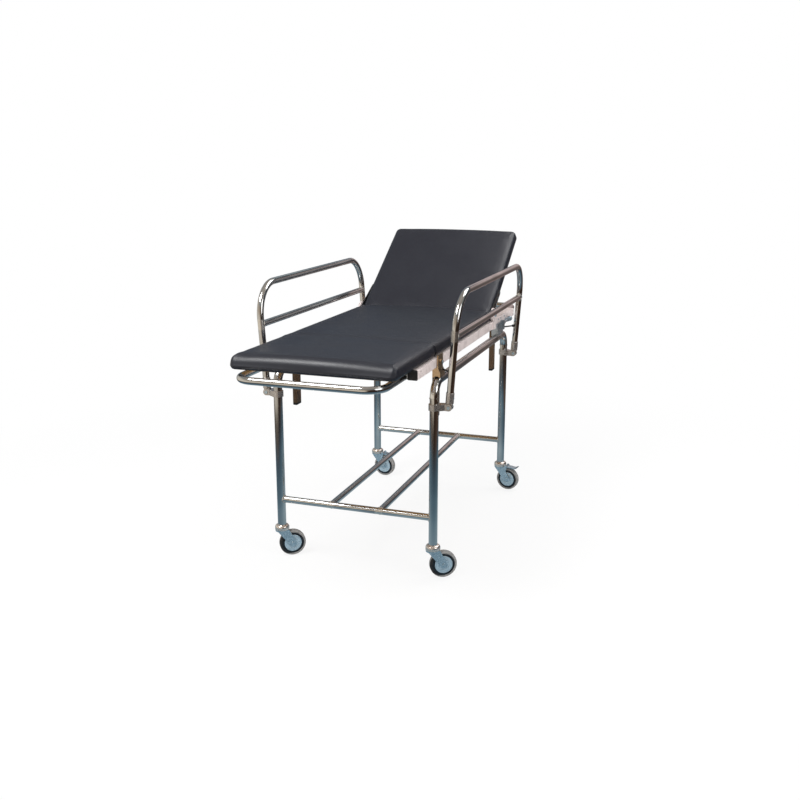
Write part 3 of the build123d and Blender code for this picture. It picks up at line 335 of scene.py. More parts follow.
def upholstery_vinyl():
    """PVC-coated upholstery fabric: pebbled grain 1.6 mm across with satin tops, and painted shade that darkens
    the valleys.
    """
    colours = bpy.context.scene.trolley_colours
    made, tree, shader, place = new_material("charcoal_upholstery_vinyl", metallic=0.0, ior=1.5)
    _, _, soft = worn(tree, shader, place, (0.12, 2.0, 0.5), (0.38, 0.46), 0.5 * MM, (0.05, 1.0))
    grain = {"Vector": place, "Scale": 1 / (1.6 * MM)}
    pebbles = add_node(tree, "ShaderNodeTexVoronoi", grain, feature="DISTANCE_TO_EDGE")["Distance"]
    # painted shade: the valleys of the grain get the darker colour, the tops the vinyl's own colour
    tops = add_node(tree, "ShaderNodeMapRange", dict(zip(RANGE, (pebbles, 0.0, 0.16, 0.0, 1.0))))[0]
    mix = {0: tops, 6: colours.vinyl_valley_painted_shade, 7: colours.vinyl}
    base = add_node(tree, "ShaderNodeMix", mix, data_type="RGBA")[2]
    normal = add_node(tree, "ShaderNodeBump", {"Height": tops, "Distance": 0.035 * MM, "Normal": soft})[0]
    tree.links.new(base, shader["Base Color"])
    tree.links.new(normal, shader["Normal"])
    return made


def wheel_cover_plate():
    """Thin pressed cover, blue zinc plated and dulled by the floor."""
    base = bpy.context.scene.trolley_colours.wheel_cover
    made, tree, shader, place = new_material("wheel_cover_plate", metallic=0.55, base_color=base)
    worn(tree, shader, place, (9 * MM, 3.0, 0.5), (0.30, 0.46), 0.03 * MM, (1.4 * MM, 2.0))
    return made


def weld_metal():
    """Stainless weld metal, brushed after welding: bright, with a rough grain."""
    base = bpy.context.scene.trolley_colours.weld
    made, tree, shader, place = new_material("brushed_weld_metal", metallic=1.0, base_color=base)
    worn(tree, shader, place, (1.5 * MM, 2.0, 0.5), (0.25, 0.42), 0.04 * MM)
    return made


def make_finishes():
    """All materials by the name that the pieces ask for."""
    colours = bpy.context.scene.trolley_colours
    return {
        "tube": stainless_tube(),
        "cross_bar": stainless_tube("polished_tube_brushed_at_welds", ("X", 0.096, 0.016)),
        "rail_frame": stainless_tube("rail_tube_brushed_at_welds", ("Z", 0.887, 0.021)),
        "zinc": zinc_plate(),
        "fitting": machined_fitting("tumbled_nickel_fitting", colours.fitting, 0.85),
        # The front saddles take the plated steel with a painted warm reflection in its base colour
        "front_saddle_warm_reflection": machined_fitting("tumbled_brass_saddle", colours.front_saddle_warm_reflection, 0.95),
        "saddle": machined_fitting("plated_steel_saddle", colours.saddle, 0.85),
        "race": machined_fitting("bright_nickel_race", colours.race, 0.9),
        "enamel": powder_coat("satin_powder_coat", colours.enamel, colours.enamel_shade, 0.30),
        "post": powder_coat("brown_stove_enamel", colours.post, colours.plastic, 0.22),
        "arm": powder_coat("black_stove_enamel", colours.rubber, colours.plastic, 0.28),
        "plastic": moulded_plastic("black_moulded_nylon", colours.plastic, 0.42),
        "rubber": moulded_plastic("black_moulded_rubber", colours.rubber, 0.66),
        "wheel_centre": moulded_plastic("dark_moulded_nylon", colours.wheel_centre, 0.40),
        **{f"tyre_{corner}": rubber_tyre(corner) for corner in CORNERS},
        "plywood": birch_plywood(),
        "vinyl": upholstery_vinyl(),
        "cover": wheel_cover_plate(),
        "weld": weld_metal(),
    }


finishes = {}


# Meshes and pieces


def link(mesh, name):
    """A new object for a mesh, at the origin."""
    made = bpy.data.objects.new(name, mesh)
    bpy.context.scene.collection.objects.link(made)
    return made


def settle(piece, finish, body):
    """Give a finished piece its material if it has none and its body."""
    if not piece.data.materials:
        piece.data.materials.append(finishes[finish])
    piece.data.shade_smooth()
    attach(piece, body)
    return piece


def mesh_of(name, build):
    """A mesh from a function that fills a bmesh, with doubles merged and normals outwards."""
    shape = bmesh.new()
    build(shape)
    bmesh.ops.remove_doubles(shape, verts=shape.verts, dist=1e-6)
    bmesh.ops.recalc_face_normals(shape, faces=shape.faces)
    mesh = bpy.data.meshes.new(name)
    shape.to_mesh(mesh)
    shape.free()
    return mesh


def turned(shape, profile, centre, axis, steps=48):
    """Add to a bmesh a closed ring profile turned about an axis: its points are (along, radius)."""
    way = Vector(axis).normalized()
    out = way.orthogonal().normalized()
    other = way.cross(out)
    rings = []
    for step in range(steps):
        angle = tau * step / steps
        spoke = out * cos(angle) + other * sin(angle)
        points = [Vector(centre) + way * along + spoke * radius for along, radius in profile]
        rings.append([shape.verts.new(point) for point in points])
    for step in range(steps):
        ring, after = rings[step], rings[(step + 1) % steps]
        for place in range(len(profile)):
            follower = (place + 1) % len(profile)
            shape.faces.new((ring[place], after[place], after[follower], ring[follower]))


def crisp(piece, angle=30.0):
    """Keep edges sharper than the angle crisp on a smooth piece."""
    piece.data.set_sharp_from_angle(angle=radians(angle))
    return piece


def applied(piece, modifier):
    """Replace a piece's mesh by what a modifier makes of it."""
    graph = bpy.context.evaluated_depsgraph_get()
    result = bpy.data.meshes.new_from_object(piece.evaluated_get(graph), depsgraph=graph)
    piece.modifiers.remove(modifier)
    piece.data = result
    return piece


# Geometry Nodes trees


def new_tree(name, **inputs):
    """A Geometry Nodes tree with a mesh input and named inputs, each given as its socket type."""
    tree = bpy.data.node_groups.new(name, "GeometryNodeTree")
    tree.interface.new_socket("Mesh", in_out="INPUT", socket_type="NodeSocketGeometry")
    for label, kind in inputs.items():
        tree.interface.new_socket(label, in_out="INPUT", socket_type=kind)
    tree.interface.new_socket("Result", in_out="OUTPUT", socket_type="NodeSocketGeometry")
    return tree, add_node(tree, "NodeGroupInput")


def close_tree(tree, geometry, material):
    """End a tree in Realize Instances and Set Material."""
    real = add_node(tree, "GeometryNodeRealizeInstances", {0: geometry})[0]
    finished = add_node(tree, "GeometryNodeSetMaterial", {"Geometry": real, "Material": material})[0]
    add_node(tree, "NodeGroupOutput", {0: finished})
    return tree


def grow(name, source, tree, **inputs):
    """Run a tree on a source mesh, and keep the result as a plain mesh."""
    piece = link(source, name)
    modifier = piece.modifiers.new("Grow", "NODES")
    modifier.node_group = tree
    for label, value in inputs.items():
        modifier[tree.interface.items_tree[label].identifier] = value
    return applied(piece, modifier)


def bead_tree():
    """Weld ripples: overlapping flat drops along each path of the mesh."""
    tree, given = new_tree(
        "weld_bead", Width="NodeSocketFloat", Ripple="NodeSocketFloat", Finish="NodeSocketMaterial"
    )
    paths = add_node(tree, "GeometryNodeMeshToCurve", {"Mesh": given["Mesh"]})[0]
    width, ripple = given["Width"], given["Ripple"]
    points = add_node(tree, "GeometryNodeCurveToPoints", {"Curve": paths, "Length": ripple}, mode="LENGTH")
    drop = add_node(tree, "GeometryNodeMeshUVSphere", {"Segments": 8, "Rings": 6, "Radius": 0.5})[0]
    limits = {"Min": (0.85, 0.85, 0.9), "Max": (1.1, 1.1, 1.1), "Seed": 3}
    uneven = add_node(tree, "FunctionNodeRandomValue", limits, data_type="FLOAT_VECTOR")[0]
    overlap = add_node(tree, "ShaderNodeMath", {0: ripple, 1: 1.9}, operation="MULTIPLY")[0]
    size = add_node(tree, "ShaderNodeCombineXYZ", {"X": width, "Y": width, "Z": overlap})[0]
    scale = add_node(tree, "ShaderNodeVectorMath", {0: size, 1: uneven}, operation="MULTIPLY")[0]
    each = {"Points": points["Points"], "Instance": drop, "Rotation": points["Rotation"], "Scale": scale}
    drops = add_node(tree, "GeometryNodeInstanceOnPoints", each)[0]
    return close_tree(tree, drops, given["Finish"])


def facing_tree():
    """A small part set on each point of the mesh, its own Z along the point's stored direction."""
    tree, given = new_tree("set_on_points", Part="NodeSocketObject", Finish="NodeSocketMaterial")
    points = add_node(tree, "GeometryNodeMeshToPoints", {"Mesh": given["Mesh"]})[0]
    facing = add_node(
        tree, "GeometryNodeInputNamedAttribute", {"Name": "facing"}, data_type="FLOAT_VECTOR"
    )[0]
    along = add_node(
        tree, "GeometryNodeInputNamedAttribute", {"Name": "along"}, data_type="FLOAT_VECTOR"
    )[0]
    up = add_node(tree, "FunctionNodeAlignRotationToVector", {"Vector": facing}, axis="Z")[0]
    turned_to = add_node(
        tree, "FunctionNodeAlignRotationToVector", {"Rotation": up, "Vector": along}, axis="X", pivot_axis="Z"
    )[0]
    part = add_node(tree, "GeometryNodeObjectInfo", {"Object": given["Part"]})["Geometry"]
    parts = add_node(
        tree, "GeometryNodeInstanceOnPoints", {"Points": points, "Instance": part, "Rotation": turned_to}
    )[0]
    return close_tree(tree, parts, given["Finish"])


def smooth_tree():
    """Joins the loose triangles of a CAD node for shading, and keeps its edges over 30 degrees crisp."""
    tree, given = new_tree("smooth_curved_faces")
    joined = add_node(tree, "GeometryNodeMergeByDistance", {"Geometry": given["Mesh"], "Distance": 1e-6})[0]
    smooth = add_node(tree, "GeometryNodeSetShadeSmooth", {"Geometry": joined}, domain="FACE")[0]
    angle = add_node(tree, "GeometryNodeInputMeshEdgeAngle")[0]
    sharp = add_node(tree, "FunctionNodeCompare", {0: angle, 1: radians(30)}, operation="GREATER_THAN")[0]
    crisp_edges = add_node(
        tree,
        "GeometryNodeSetShadeSmooth",
        {"Geometry": smooth, "Selection": sharp, "Shade Smooth": False},
        domain="EDGE",
    )[0]
    add_node(tree, "NodeGroupOutput", {0: crisp_edges})
    return tree


def paths_mesh(name, paths):
    """A mesh of edges only: each path is (points, closed)."""
    points, edges = [], []
    for path, closed in paths:
        first = len(points)
        points.extend(path)
        edges.extend((first + i, first + i + 1) for i in range(len(path) - 1))
        if closed:
            edges.append((len(points) - 1, first))
    mesh = bpy.data.meshes.new(name)
    mesh.from_pydata(points, edges, [])
    return mesh


def points_mesh(name, places):
    """A mesh of loose points: each place is (point, facing, along)."""
    mesh = bpy.data.meshes.new(name)
    mesh.from_pydata([place[0] for place in places], [], [])
    for label, column in (("facing", 1), ("along", 2)):
        attribute = mesh.attributes.new(label, "FLOAT_VECTOR", "POINT")
        for item, place in zip(attribute.data, places):
            item.vector = place[column]
    return mesh


# Operators


def seen_rays(tree):
    """1 for rays from the camera, from a mirror and through glass, else 0."""
    ray = add_node(tree, "ShaderNodeLightPath")
    pair = {0: ray["Is Camera Ray"], 1: ray["Is Glossy Ray"]}
    pair = {0: add_node(tree, "ShaderNodeMath", pair, operation="MAXIMUM")[0], 1: ray["Is Transmission Ray"]}
    return add_node(tree, "ShaderNodeMath", pair, operation="MAXIMUM")[0]


class TROLLEY_OT_studio(Operator):
    """Makes the camera, the pale floor, the soft lamps and the boards that the polished tubes reflect"""

    bl_idname = "trolley.studio"
    bl_label = "Studio"

    def execute(self, context):
        sizes = context.scene.trolley_studio
        camera = bpy.data.cameras.new("photo_camera")
        camera.sensor_width = 36
        camera.lens = 43.236
        viewer = bpy.data.objects.new("photo_camera", camera)
        viewer.location = (1.2554, -3.5957, 1.4827)
        viewer.rotation_euler = (radians(90 - 14.277), 0, radians(19.336))
        context.scene.collection.objects.link(viewer)
        context.scene.camera = viewer
        context.scene.view_settings.view_transform = "Standard"
        self.make_world(context.scene, sizes.ambient)
        self.make_floor(sizes)
        self.make_boards()
        self.make_lamp("key_lamp", (-1.2, -1.9, 3.4), 1.2, sizes.key)
        self.make_lamp("fill_lamp", (3.2, -1.4, 2.4), 2.0, sizes.fill)
        self.make_lamp("top_lamp", (1.3, 1.6, 3.4), 2.2, sizes.top)
        return {"FINISHED"}

    def make_world(self, scene, ambient):
        """White behind the object and in its reflections, and a plain ambient light."""
        world = bpy.data.worlds.new("studio_world")
        scene.world = world
        tree = empty_tree(world)
        seen = seen_rays(tree)
        lit = {"Color": linear("#FFFFFF"), "Strength": ambient}
        lit = add_node(tree, "ShaderNodeBackground", lit)[0]
        white = {"Color": linear("#FFFFFF"), "Strength": 1.0}
        white = add_node(tree, "ShaderNodeBackground", white)[0]
        both = add_node(tree, "ShaderNodeMixShader", {0: seen, 1: lit, 2: white})[0]
        add_node(tree, "ShaderNodeOutputWorld", {"Surface": both})

    def make_floor(self, sizes):
        """A white floor that keeps a share of the object's shadow."""
        half = sizes.floor
        mesh = bpy.data.meshes.new("studio_floor")
        corners = [(-half, -half, 0), (half, -half, 0), (half, half, 0), (-half, half, 0)]
        mesh.from_pydata(corners, [], [(0, 1, 2, 3)])
        floor = link(mesh, "studio_floor")
        floor.location.z = -0.4 * MM
        made = bpy.data.materials.new("white_floor")
        tree = empty_tree(made)
        lit = add_node(tree, "ShaderNodeBsdfDiffuse", {"Color": linear("#F4F4F4")})[0]
        glow = add_node(tree, "ShaderNodeEmission", {"Color": linear("#FFFFFF"), "Strength": 1.0})[0]
        seen = seen_rays(tree)
        place = add_node(tree, "ShaderNodeTexCoord")["Object"]
        reach = add_node(tree, "ShaderNodeVectorMath", {0: place}, operation="LENGTH")["Value"]
        fade = dict(zip(RANGE, (reach, 1.3, 2.6, 1 - sizes.shadow, 1.0)))
        white = add_node(tree, "ShaderNodeMapRange", fade)[0]
        share = add_node(tree, "ShaderNodeMath", {0: seen, 1: white}, operation="MULTIPLY")
        both = add_node(tree, "ShaderNodeMixShader", {0: share[0], 1: lit, 2: glow})[0]
        add_node(tree, "ShaderNodeOutputMaterial", {"Surface": both})
        mesh.materials.append(made)

    def make_boards(self):
        """Coloured boards that only reflections see: a floor mat, a wall round the studio and a ceiling.

        Their colours go by the direction from the middle, in turns: 0 left, 0.25 front, 0.5 right, 0.75 rear.
        """
        near = [(0.0, "#A6B6BE"), (0.10, "#94A9B4"), (0.20, "#657F8E"), (0.30, "#4A6171"), (0.42, "#67808F"),
                (0.62, "#879AA6"), (0.68, "#2B2622")]
        low = [(0.0, "#E8DFD0"), (0.12, "#F6EEE0"), (0.27, "#EBDDCB"), (0.31, "#3B2C23"), (0.62, "#33261E"),
               (0.675, "#434B52"), (0.69, "#5A5450"), (0.72, "#7D6C69"), (0.76, "#8F7D79"), (0.80, "#8C8480"),
               (0.83, "#8A9498"), (0.91, "#A9ABA8"), (1.0, "#E8DFD0")]
        between = [(0.0, "#6E655C"), (0.12, "#6A5D51"), (0.27, "#3B2F28"), (0.33, "#33261E"),
                   (0.60, "#6A5446"), (0.675, "#434B52"), (0.69, "#5A5450"), (0.72, "#7D6C69"),
                   (0.76, "#8F7D79"), (0.80, "#8C8480"), (0.83, "#8A9498"), (0.91, "#7B766E"),
                   (1.0, "#6E655C")]
        high = [(0.0, "#E9E0D3"), (0.12, "#CDBEAC"), (0.28, "#B9A893"), (0.34, "#5C4E44"), (0.66, "#4E555B"),
                (0.69, "#8D7D79"), (0.715, "#D3BFBC"), (0.775, "#CDBCBA"), (0.80, "#4A5266"),
                (0.87, "#475064"), (0.93, "#C9C7C2"), (1.0, "#E9E0D3")]
        top = [(0.0, "#C9C2B8"), (0.28, "#A99B8B"), (0.36, "#6B5F56"), (0.64, "#4A5258"), (0.74, "#4A5258"),
               (0.765, "#A3ADB1"), (0.82, "#A3ADB1"), (0.90, "#A9ABA8"), (1.0, "#C9C2B8")]
        ceiling = [(0.0, "#B9B3AC"), (0.5, "#A0968D"), (1.0, "#8A9498")]
        radius = 6.0
        height = 4.5
        mat_changes = [(0.27, 0.36), (0.42, 0.52)]
        self.make_board("reflected_mat", [near, between, low], mat_changes, radius, 0.02 * MM, None)
        self.make_board("reflected_wall", [low, high, top], [(0.15, 0.5), (0.64, 0.72)], radius, 0.0, height)
        self.make_board("reflected_ceiling", [ceiling], [], radius, height, None)

    def make_board(self, name, lists, changes, radius, level, height):
        """A disc at a level, or a wall of a height, that glows in lists of colours.

        The lists follow each other outwards or upwards, at the changes given as shares of the reach.

        A disc's first list goes by the distance from its middle, every other list by the direction.
        """
        steps = 64
        spokes = [(radius * cos(tau * i / steps), radius * sin(tau * i / steps)) for i in range(steps)]
        mesh = bpy.data.meshes.new(name)
        if height is None:
            mesh.from_pydata([(x, y, level) for x, y in spokes], [], [tuple(range(steps))])
        else:
            points = [(x, y, z) for z in (level, height) for x, y in spokes]
            faces = [(i, (i + 1) % steps, steps + (i + 1) % steps, steps + i) for i in range(steps)]
            mesh.from_pydata(points, [], faces)
        board = link(mesh, name)
        made = bpy.data.materials.new(name)
        tree = empty_tree(made)
        place = add_node(tree, "ShaderNodeTexCoord")["Object"]
        apart = add_node(tree, "ShaderNodeSeparateXYZ", {0: place})
        heading = {0: apart["Y"], 1: apart["X"]}
        turn = add_node(tree, "ShaderNodeMath", heading, operation="ARCTAN2")[0]
        turn = add_node(tree, "ShaderNodeMapRange", dict(zip(RANGE, (turn, -pi, pi, 0.0, 1.0))))[0]
        flat = add_node(tree, "ShaderNodeCombineXYZ", {"X": apart["X"], "Y": apart["Y"]})[0]
        reach = add_node(tree, "ShaderNodeVectorMath", {0: flat}, operation="LENGTH")["Value"]
        along, limit = (reach, radius) if height is None else (apart["Z"], height)
        share = add_node(tree, "ShaderNodeMapRange", dict(zip(RANGE, (along, 0.0, limit, 0.0, 1.0))))[0]
        shown = self.blended(tree, share if height is None else turn, lists[0])
        for stops, change in zip(lists[1:], changes):
            blend = add_node(tree, "ShaderNodeMapRange", dict(zip(RANGE, (share, *change, 0.0, 1.0))))[0]
            mix = {0: blend, 6: shown, 7: self.blended(tree, turn, stops)}
            shown = add_node(tree, "ShaderNodeMix", mix, data_type="RGBA")[2]
        glow = add_node(tree, "ShaderNodeEmission", {"Color": shown})[0]
        add_node(tree, "ShaderNodeOutputMaterial", {"Surface": glow})
        mesh.materials.append(made)
        for kind in ("camera", "diffuse", "transmission", "shadow", "volume_scatter"):
            setattr(board, f"visible_{kind}", False)

    def blended(self, tree, share, stops):
        """The colours of a list of (position, colour written as hex), each running into the next."""
        shown = add_node(tree, "ShaderNodeValToRGB", {0: share})[0]
        elements = shown.node.color_ramp.elements
        while len(elements) < len(stops):
            elements.new(0.5)
        for element, (position, code) in zip(elements, stops):
            element.position = position
            element.color = linear(code)
        return shown

    def make_lamp(self, name, place, size, power):
        """A square soft lamp aimed at the middle of the object."""
        lamp = bpy.data.lights.new(name, "AREA")
        lamp.size = size
        lamp.energy = power
        holder = bpy.data.objects.new(name, lamp)
        holder.location = place
        aim = Vector((0, 0, 0.6)) - Vector(place)
        holder.rotation_euler = aim.to_track_quat("-Z", "Y").to_euler()
        bpy.context.scene.collection.objects.link(holder)


class TROLLEY_OT_finishes(Operator):
    """Gives each CAD node the finish of the real piece"""

    bl_idname = "trolley.finishes"
    bl_label = "Finishes"

    by_slot = {
        "polished_tube": "tube",
        "zinc_plated_steel": "zinc",
        "fitting_steel": "fitting",
        "rubber_stop": "rubber",
        "painted_member": "enamel",
        "dark_post": "post",
        "black_plastic": "plastic",
        "plywood": "plywood",
        "charcoal_vinyl": "vinyl",
        "wheel_centre": "wheel_centre",
    }

    def execute(self, context):
        finishes.update(make_finishes())
        smooth = smooth_tree()
        own = {
            "cross_bar_front": "cross_bar",
            "cross_bar_rear": "cross_bar",
            "rail_frame_left": "rail_frame",
            "rail_frame_right": "rail_frame",
            # front saddles: steel with a painted warm reflection
            "saddles_front": "front_saddle_warm_reflection",
            "saddles_rear": "saddle",
            "caster_races": "race",
            "hinge_arms": "arm",
            **{f"wheel_tyre_{corner}": f"tyre_{corner}" for corner in CORNERS},
        }
        for part in frame["record"]["subparts"]:
            name = part["node"]
            piece = frame["nodes"][name]
            finish = own.get(name) or self.by_slot[part["material_slot"]]
            piece.data.materials.clear()
            piece.data.materials.append(finishes[finish])
            piece.modifiers.new("Smooth", "NODES").node_group = smooth
        return {"FINISHED"}


class Cushion:
    """A cushion's plan and the frame it lies in: u runs headwards along it, h is height over its board."""

    def __init__(self, name, body, start, end, radii, rolls, bulge, origin, tilt, floor):
        self.name = name
        self.body = body
        self.start = start
        self.end = end
        self.radii = radii
        self.rolls = rolls
        self.bulge = bulge
        self.origin = Vector(origin)
        self.tilt = tilt
        self.floor = floor

    def place(self, x, u, h):
        """A point of the cushion's own frame in the frame of the object."""
        up = self.floor + h
        y = u * cos(self.tilt) - up * sin(self.tilt)
        return self.origin + Vector((x, y, u * sin(self.tilt) + up * cos(self.tilt)))

    def rim(self, half, insets, across, along, turn=5):
        """Four sides of a rounded rectangle that meet in the middle of its corners: start, right, end, left.

        The insets from the plan are those of the sides, of the start and of the end.
        """
        side_in, start_in, end_in = insets
        low, high = self.start + start_in, self.end - end_in
        width = half - side_in
        least = 2 * MM
        near = max(self.radii[0] - (side_in + start_in) / 2, least)
        far = max(self.radii[1] - (side_in + end_in) / 2, least)
        corners = [(-width + near, low + near, near), (width - near, low + near, near),
                   (width - far, high - far, far), (-width + far, high - far, far)]
        sides = []
        for number in range(4):
            cells = along if number % 2 else across
            outward = radians(270 + 90 * number)
            first, second = corners[number], corners[(number + 1) % 4]
            side = []
            for cell in range(cells + 1):
                if cell <= turn:
                    side.append(arc_point(first, outward - pi / 4 * (1 - cell / turn)))
                elif cell >= cells - turn:
                    side.append(arc_point(second, outward + pi / 4 * (cell - cells + turn) / turn))
                else:
                    share = (cell - turn) / (cells - 2 * turn)
                    side.append(arc_point(first, outward).lerp(arc_point(second, outward), share))
            sides.append(side)
        return sides

    def shares(self, across, along, turn=5):
        """For each point of the rim, how far it belongs to the sides, to the start and to the end."""
        found = []
        for number in range(4):
            cells = along if number % 2 else across
            for cell in range(cells):
                edge = min(cell, cells - cell, turn) / turn
                own = 0.5 + 0.5 * edge
                first_half = cell < cells / 2
                if number == 0:
                    found.append((1 - own, own, 0))
                elif number == 2:
                    found.append((1 - own, 0, own))
                elif (number == 1) == first_half:
                    found.append((own, 1 - own, 0))
                else:
                    found.append((own, 0, 1 - own))
        return found


def arc_point(corner, angle):
    """A point on a corner's arc, in plan."""
    x, u, radius = corner
    return Vector((x + radius * cos(angle), u + radius * sin(angle)))


def patch(sides, across, along):
    """A grid of points between four sides, each row from left to right, from start to end."""
    front, right = sides[0], sides[1]
    rear, left = sides[2][::-1], sides[3][::-1]
    grid = []
    for row in range(along + 1):
        v = row / along
        line = []
        for column in range(across + 1):
            u = column / across
            bilinear = front[0] * (1 - u) * (1 - v) + front[-1] * u * (1 - v)
            bilinear += rear[0] * (1 - u) * v + rear[-1] * u * v
            line.append(
                front[column] * (1 - v) + rear[column] * v + left[row] * (1 - u) + right[row] * u - bilinear
            )
        grid.append(line)
    return grid


class TROLLEY_OT_cushions(Operator):
    """Makes the three cushions: foam under vinyl that is drawn over the edge and stapled under the board"""

    bl_idname = "trolley.cushions"
    bl_label = "Cushions"

    def execute(self, context):
        for cushion in cushions():
            piece = self.make(cushion, context.scene.trolley_cushions)
            settle(piece, "vinyl", cushion.body)
            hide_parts(cushion.name)
            self.make_board(cushion)
        return {"FINISHED"}

    def make_board(self, cushion):
        """The plywood board of a cushion, with its corners rounded under the vinyl."""
        node = cushion.name.replace("cushion", "board")
        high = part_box(node)[1]
        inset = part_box(cushion.name)[1].x - high.x
        start = inset if not cushion.tilt else inset - cushion.start
        rings = cushion.rim(high.x + inset, (inset, start, inset), 16, 16)
        outline = [point for side in rings for point in side[:-1]]
        thickness = 12 * MM

        def build(shape):
            layers = []
            for level in (0.0, thickness):
                layers.append([shape.verts.new(cushion.place(x, u, level)) for x, u in outline])
            for layer in layers:
                shape.faces.new(layer)
            for number in range(len(outline)):
                after = (number + 1) % len(outline)
                shape.faces.new((layers[0][number], layers[0][after], layers[1][after], layers[1][number]))

        piece = link(mesh_of(node + "_rounded", build), node + "_rounded")
        settle(piece, "plywood", cushion.body)
        crisp(piece)
        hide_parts(node)

    def make(self, cushion, sizes):
        """The closed cover: its top, its edge step by step, and its flap and base under the board."""
        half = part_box(cushion.name)[1].x + cushion.bulge
        across = sizes.cells_across
        along = round(across * (cushion.end - cushion.start) / (2 * half))
        profile = self.profile(sizes, cushion)
        shares = cushion.shares(across, along)
        top = patch(cushion.rim(half, cushion.rolls, across, along), across, along)
        rise = [[self.height(cushion, sizes, half, point) for point in row] for row in top]
        points = [Vector((*spot, z)) for row, lift in zip(top, rise) for spot, z in zip(row, lift)]
        faces = grid_faces(0, across, along)
        loop = rim_order(across, along)
        upper = [row * (across + 1) + column for column, row in loop]
        for insets, levels in profile:
            ring = [point for side in cushion.rim(half, insets, across, along) for point in side[:-1]]
            first = len(points)
            for point, (column, row), parts in zip(ring, loop, shares):
                share = sum(level * part for level, part in zip(levels, parts))
                level = share * rise[row][column] if share > 0 else share
                points.append(Vector((point.x, point.y, level)))
            lower = list(range(first, len(points)))
            faces.extend(band_faces(upper, lower))
            upper = lower
        base = patch(cushion.rim(half, profile[-1][0], across, along), across, along)
        bottom = {}
        for row in range(along + 1):
            for column in range(across + 1):
                if 0 < row < along and 0 < column < across:
                    bottom[column, row] = len(points)
                    points.append(Vector((*base[row][column], points[upper[0]].z)))
        for number, spot in enumerate(loop):
            bottom[spot] = upper[number]
        for row in range(along):
            for column in range(across):
                cell = [(column, row), (column, row + 1), (column + 1, row + 1), (column + 1, row)]
                faces.append(tuple(bottom[spot] for spot in cell))
        pinned = [i for i, point in enumerate(points) if point.z < 0.30 * sizes.edge_height]
        mesh = bpy.data.meshes.new(cushion.name + "_cover")
        mesh.from_pydata([tuple(point) for point in points], [], faces)
        piece = link(mesh, cushion.name + "_cover")
        fill_with_air(piece, pinned, sizes.pressure, sizes.swell)
        self.shape_corners(piece, cushion, sizes, half)
        subdivide(piece, 1)
        self.move_to_place(piece, cushion)
        return piece

    def profile(self, sizes, cushion):
        """The edge from the top down, for the sides, the start and the end.

        Each step has three insets from the plan, and three shares of the local height. A share below 0 is
        a level under the board.
        """
        tall = sizes.edge_height
        steps = 7
        edge = []
        for step in range(1, steps + 1):
            angle = pi / 2 * step / steps
            insets = [roll * (1 - sin(angle)) for roll in cushion.rolls]
            edge.append((insets, [(tall - roll * (1 - cos(angle))) / tall for roll in cushion.rolls]))
        taper, tuck = sizes.side_taper, sizes.tuck
        below = -0.4 * MM
        flat_steps = [
            (0.04, taper * 0.1, 0.26),
            (0.25, taper * 0.3, 0.20),
            (0.60, taper * 0.6, 0.13),
            (0.90, taper + 0.3 * tuck, 0.05),
            (1.0, taper + tuck, below),
            (1.0, sizes.flap * 0.6, below),
            (1.0, sizes.flap, below),
            (1.0, sizes.flap + 0.5 * MM, 0.06),
        ]
        for share, inset, level in flat_steps:
            edge.append(([inset + share * cushion.bulge, inset, inset], [level] * 3))
        return edge

    def height(self, cushion, sizes, half, point):
        """Height of the top over the board: crowned across, easing down towards the free end."""
        across = abs(point.x) / half
        middle = (cushion.start + cushion.end) / 2
        along = (point.y - middle) / (cushion.end - cushion.start) * 2
        free = along if cushion.name == "back_cushion" else -along
        crown = (1 - across ** 2.2) * (1 - 0.5 * max(free, 0.0) ** 6)
        return sizes.edge_height + sizes.crown * crown

    def shape_corners(self, piece, cushion, sizes, half):
        """Folds the vinyl at each corner, and keeps the cushion inside its own room."""
        depth = sizes.pleat
        corners = [(side, *end) for end in ((cushion.start, 0), (cushion.end, 1)) for side in (-1, 1)]
        for vertex in piece.data.vertices:
            x, u, h = vertex.co
            for side, corner_u, far in corners:
                radius, way = cushion.radii[far], 1 if far else -1
                out = Vector((x, u)) - Vector((side * (half - radius), corner_u - radius * way))
                outside = out.x * side > 0 and out.y * way > 0
                if outside and out.length > 0.6 * radius and 0 < h < 0.9 * sizes.edge_height:
                    angle = out.angle_signed(Vector((side, way)))
                    fade = (1 - h / (0.9 * sizes.edge_height)) * max(0.0, 1 - (angle / (pi / 4)) ** 2)
                    fold = 0.5 + 0.5 * cos(angle * 22)
                    move = out.normalized() * (-depth * fold * fade)
                    x += move.x
                    u += move.y
            if cushion.tilt:
                u, h = round_about_hinge(u, h + cushion.floor, cushion.floor)
                h -= cushion.floor
            vertex.co = (x, u, h)

    def move_to_place(self, piece, cushion):
        for vertex in piece.data.vertices:
            vertex.co = cushion.place(*vertex.co)


def round_about_hinge(u, height, floor):
    """Keeps the foot end of the back inside the round that clears the deck as it tilts."""
    reach = abs(floor) - 0.2 * MM
    away = hypot(u, height)
    if u < 0 and away > reach:
        return u * reach / away, height * reach / away
    return u, height


def rim_order(across, along):
    """Grid places of a patch's border, in the order of the rim's points."""
    order = [(column, 0) for column in range(across)]
    order += [(across, row) for row in range(along)]
    order += [(column, along) for column in range(across, 0, -1)]
    order += [(0, row) for row in range(along, 0, -1)]
    return order


def grid_faces(first, across, along):
    """Faces of a grid of points, facing up."""
    row_length = across + 1
    corners = [first + row * row_length + column for row in range(along) for column in range(across)]
    return [(c, c + 1, c + row_length + 1, c + row_length) for c in corners]


def band_faces(upper, lower):
    """Faces between two rims of as many points."""
    count = len(upper)
    return [(upper[i], lower[i], lower[(i + 1) % count], upper[(i + 1) % count]) for i in range(count)]


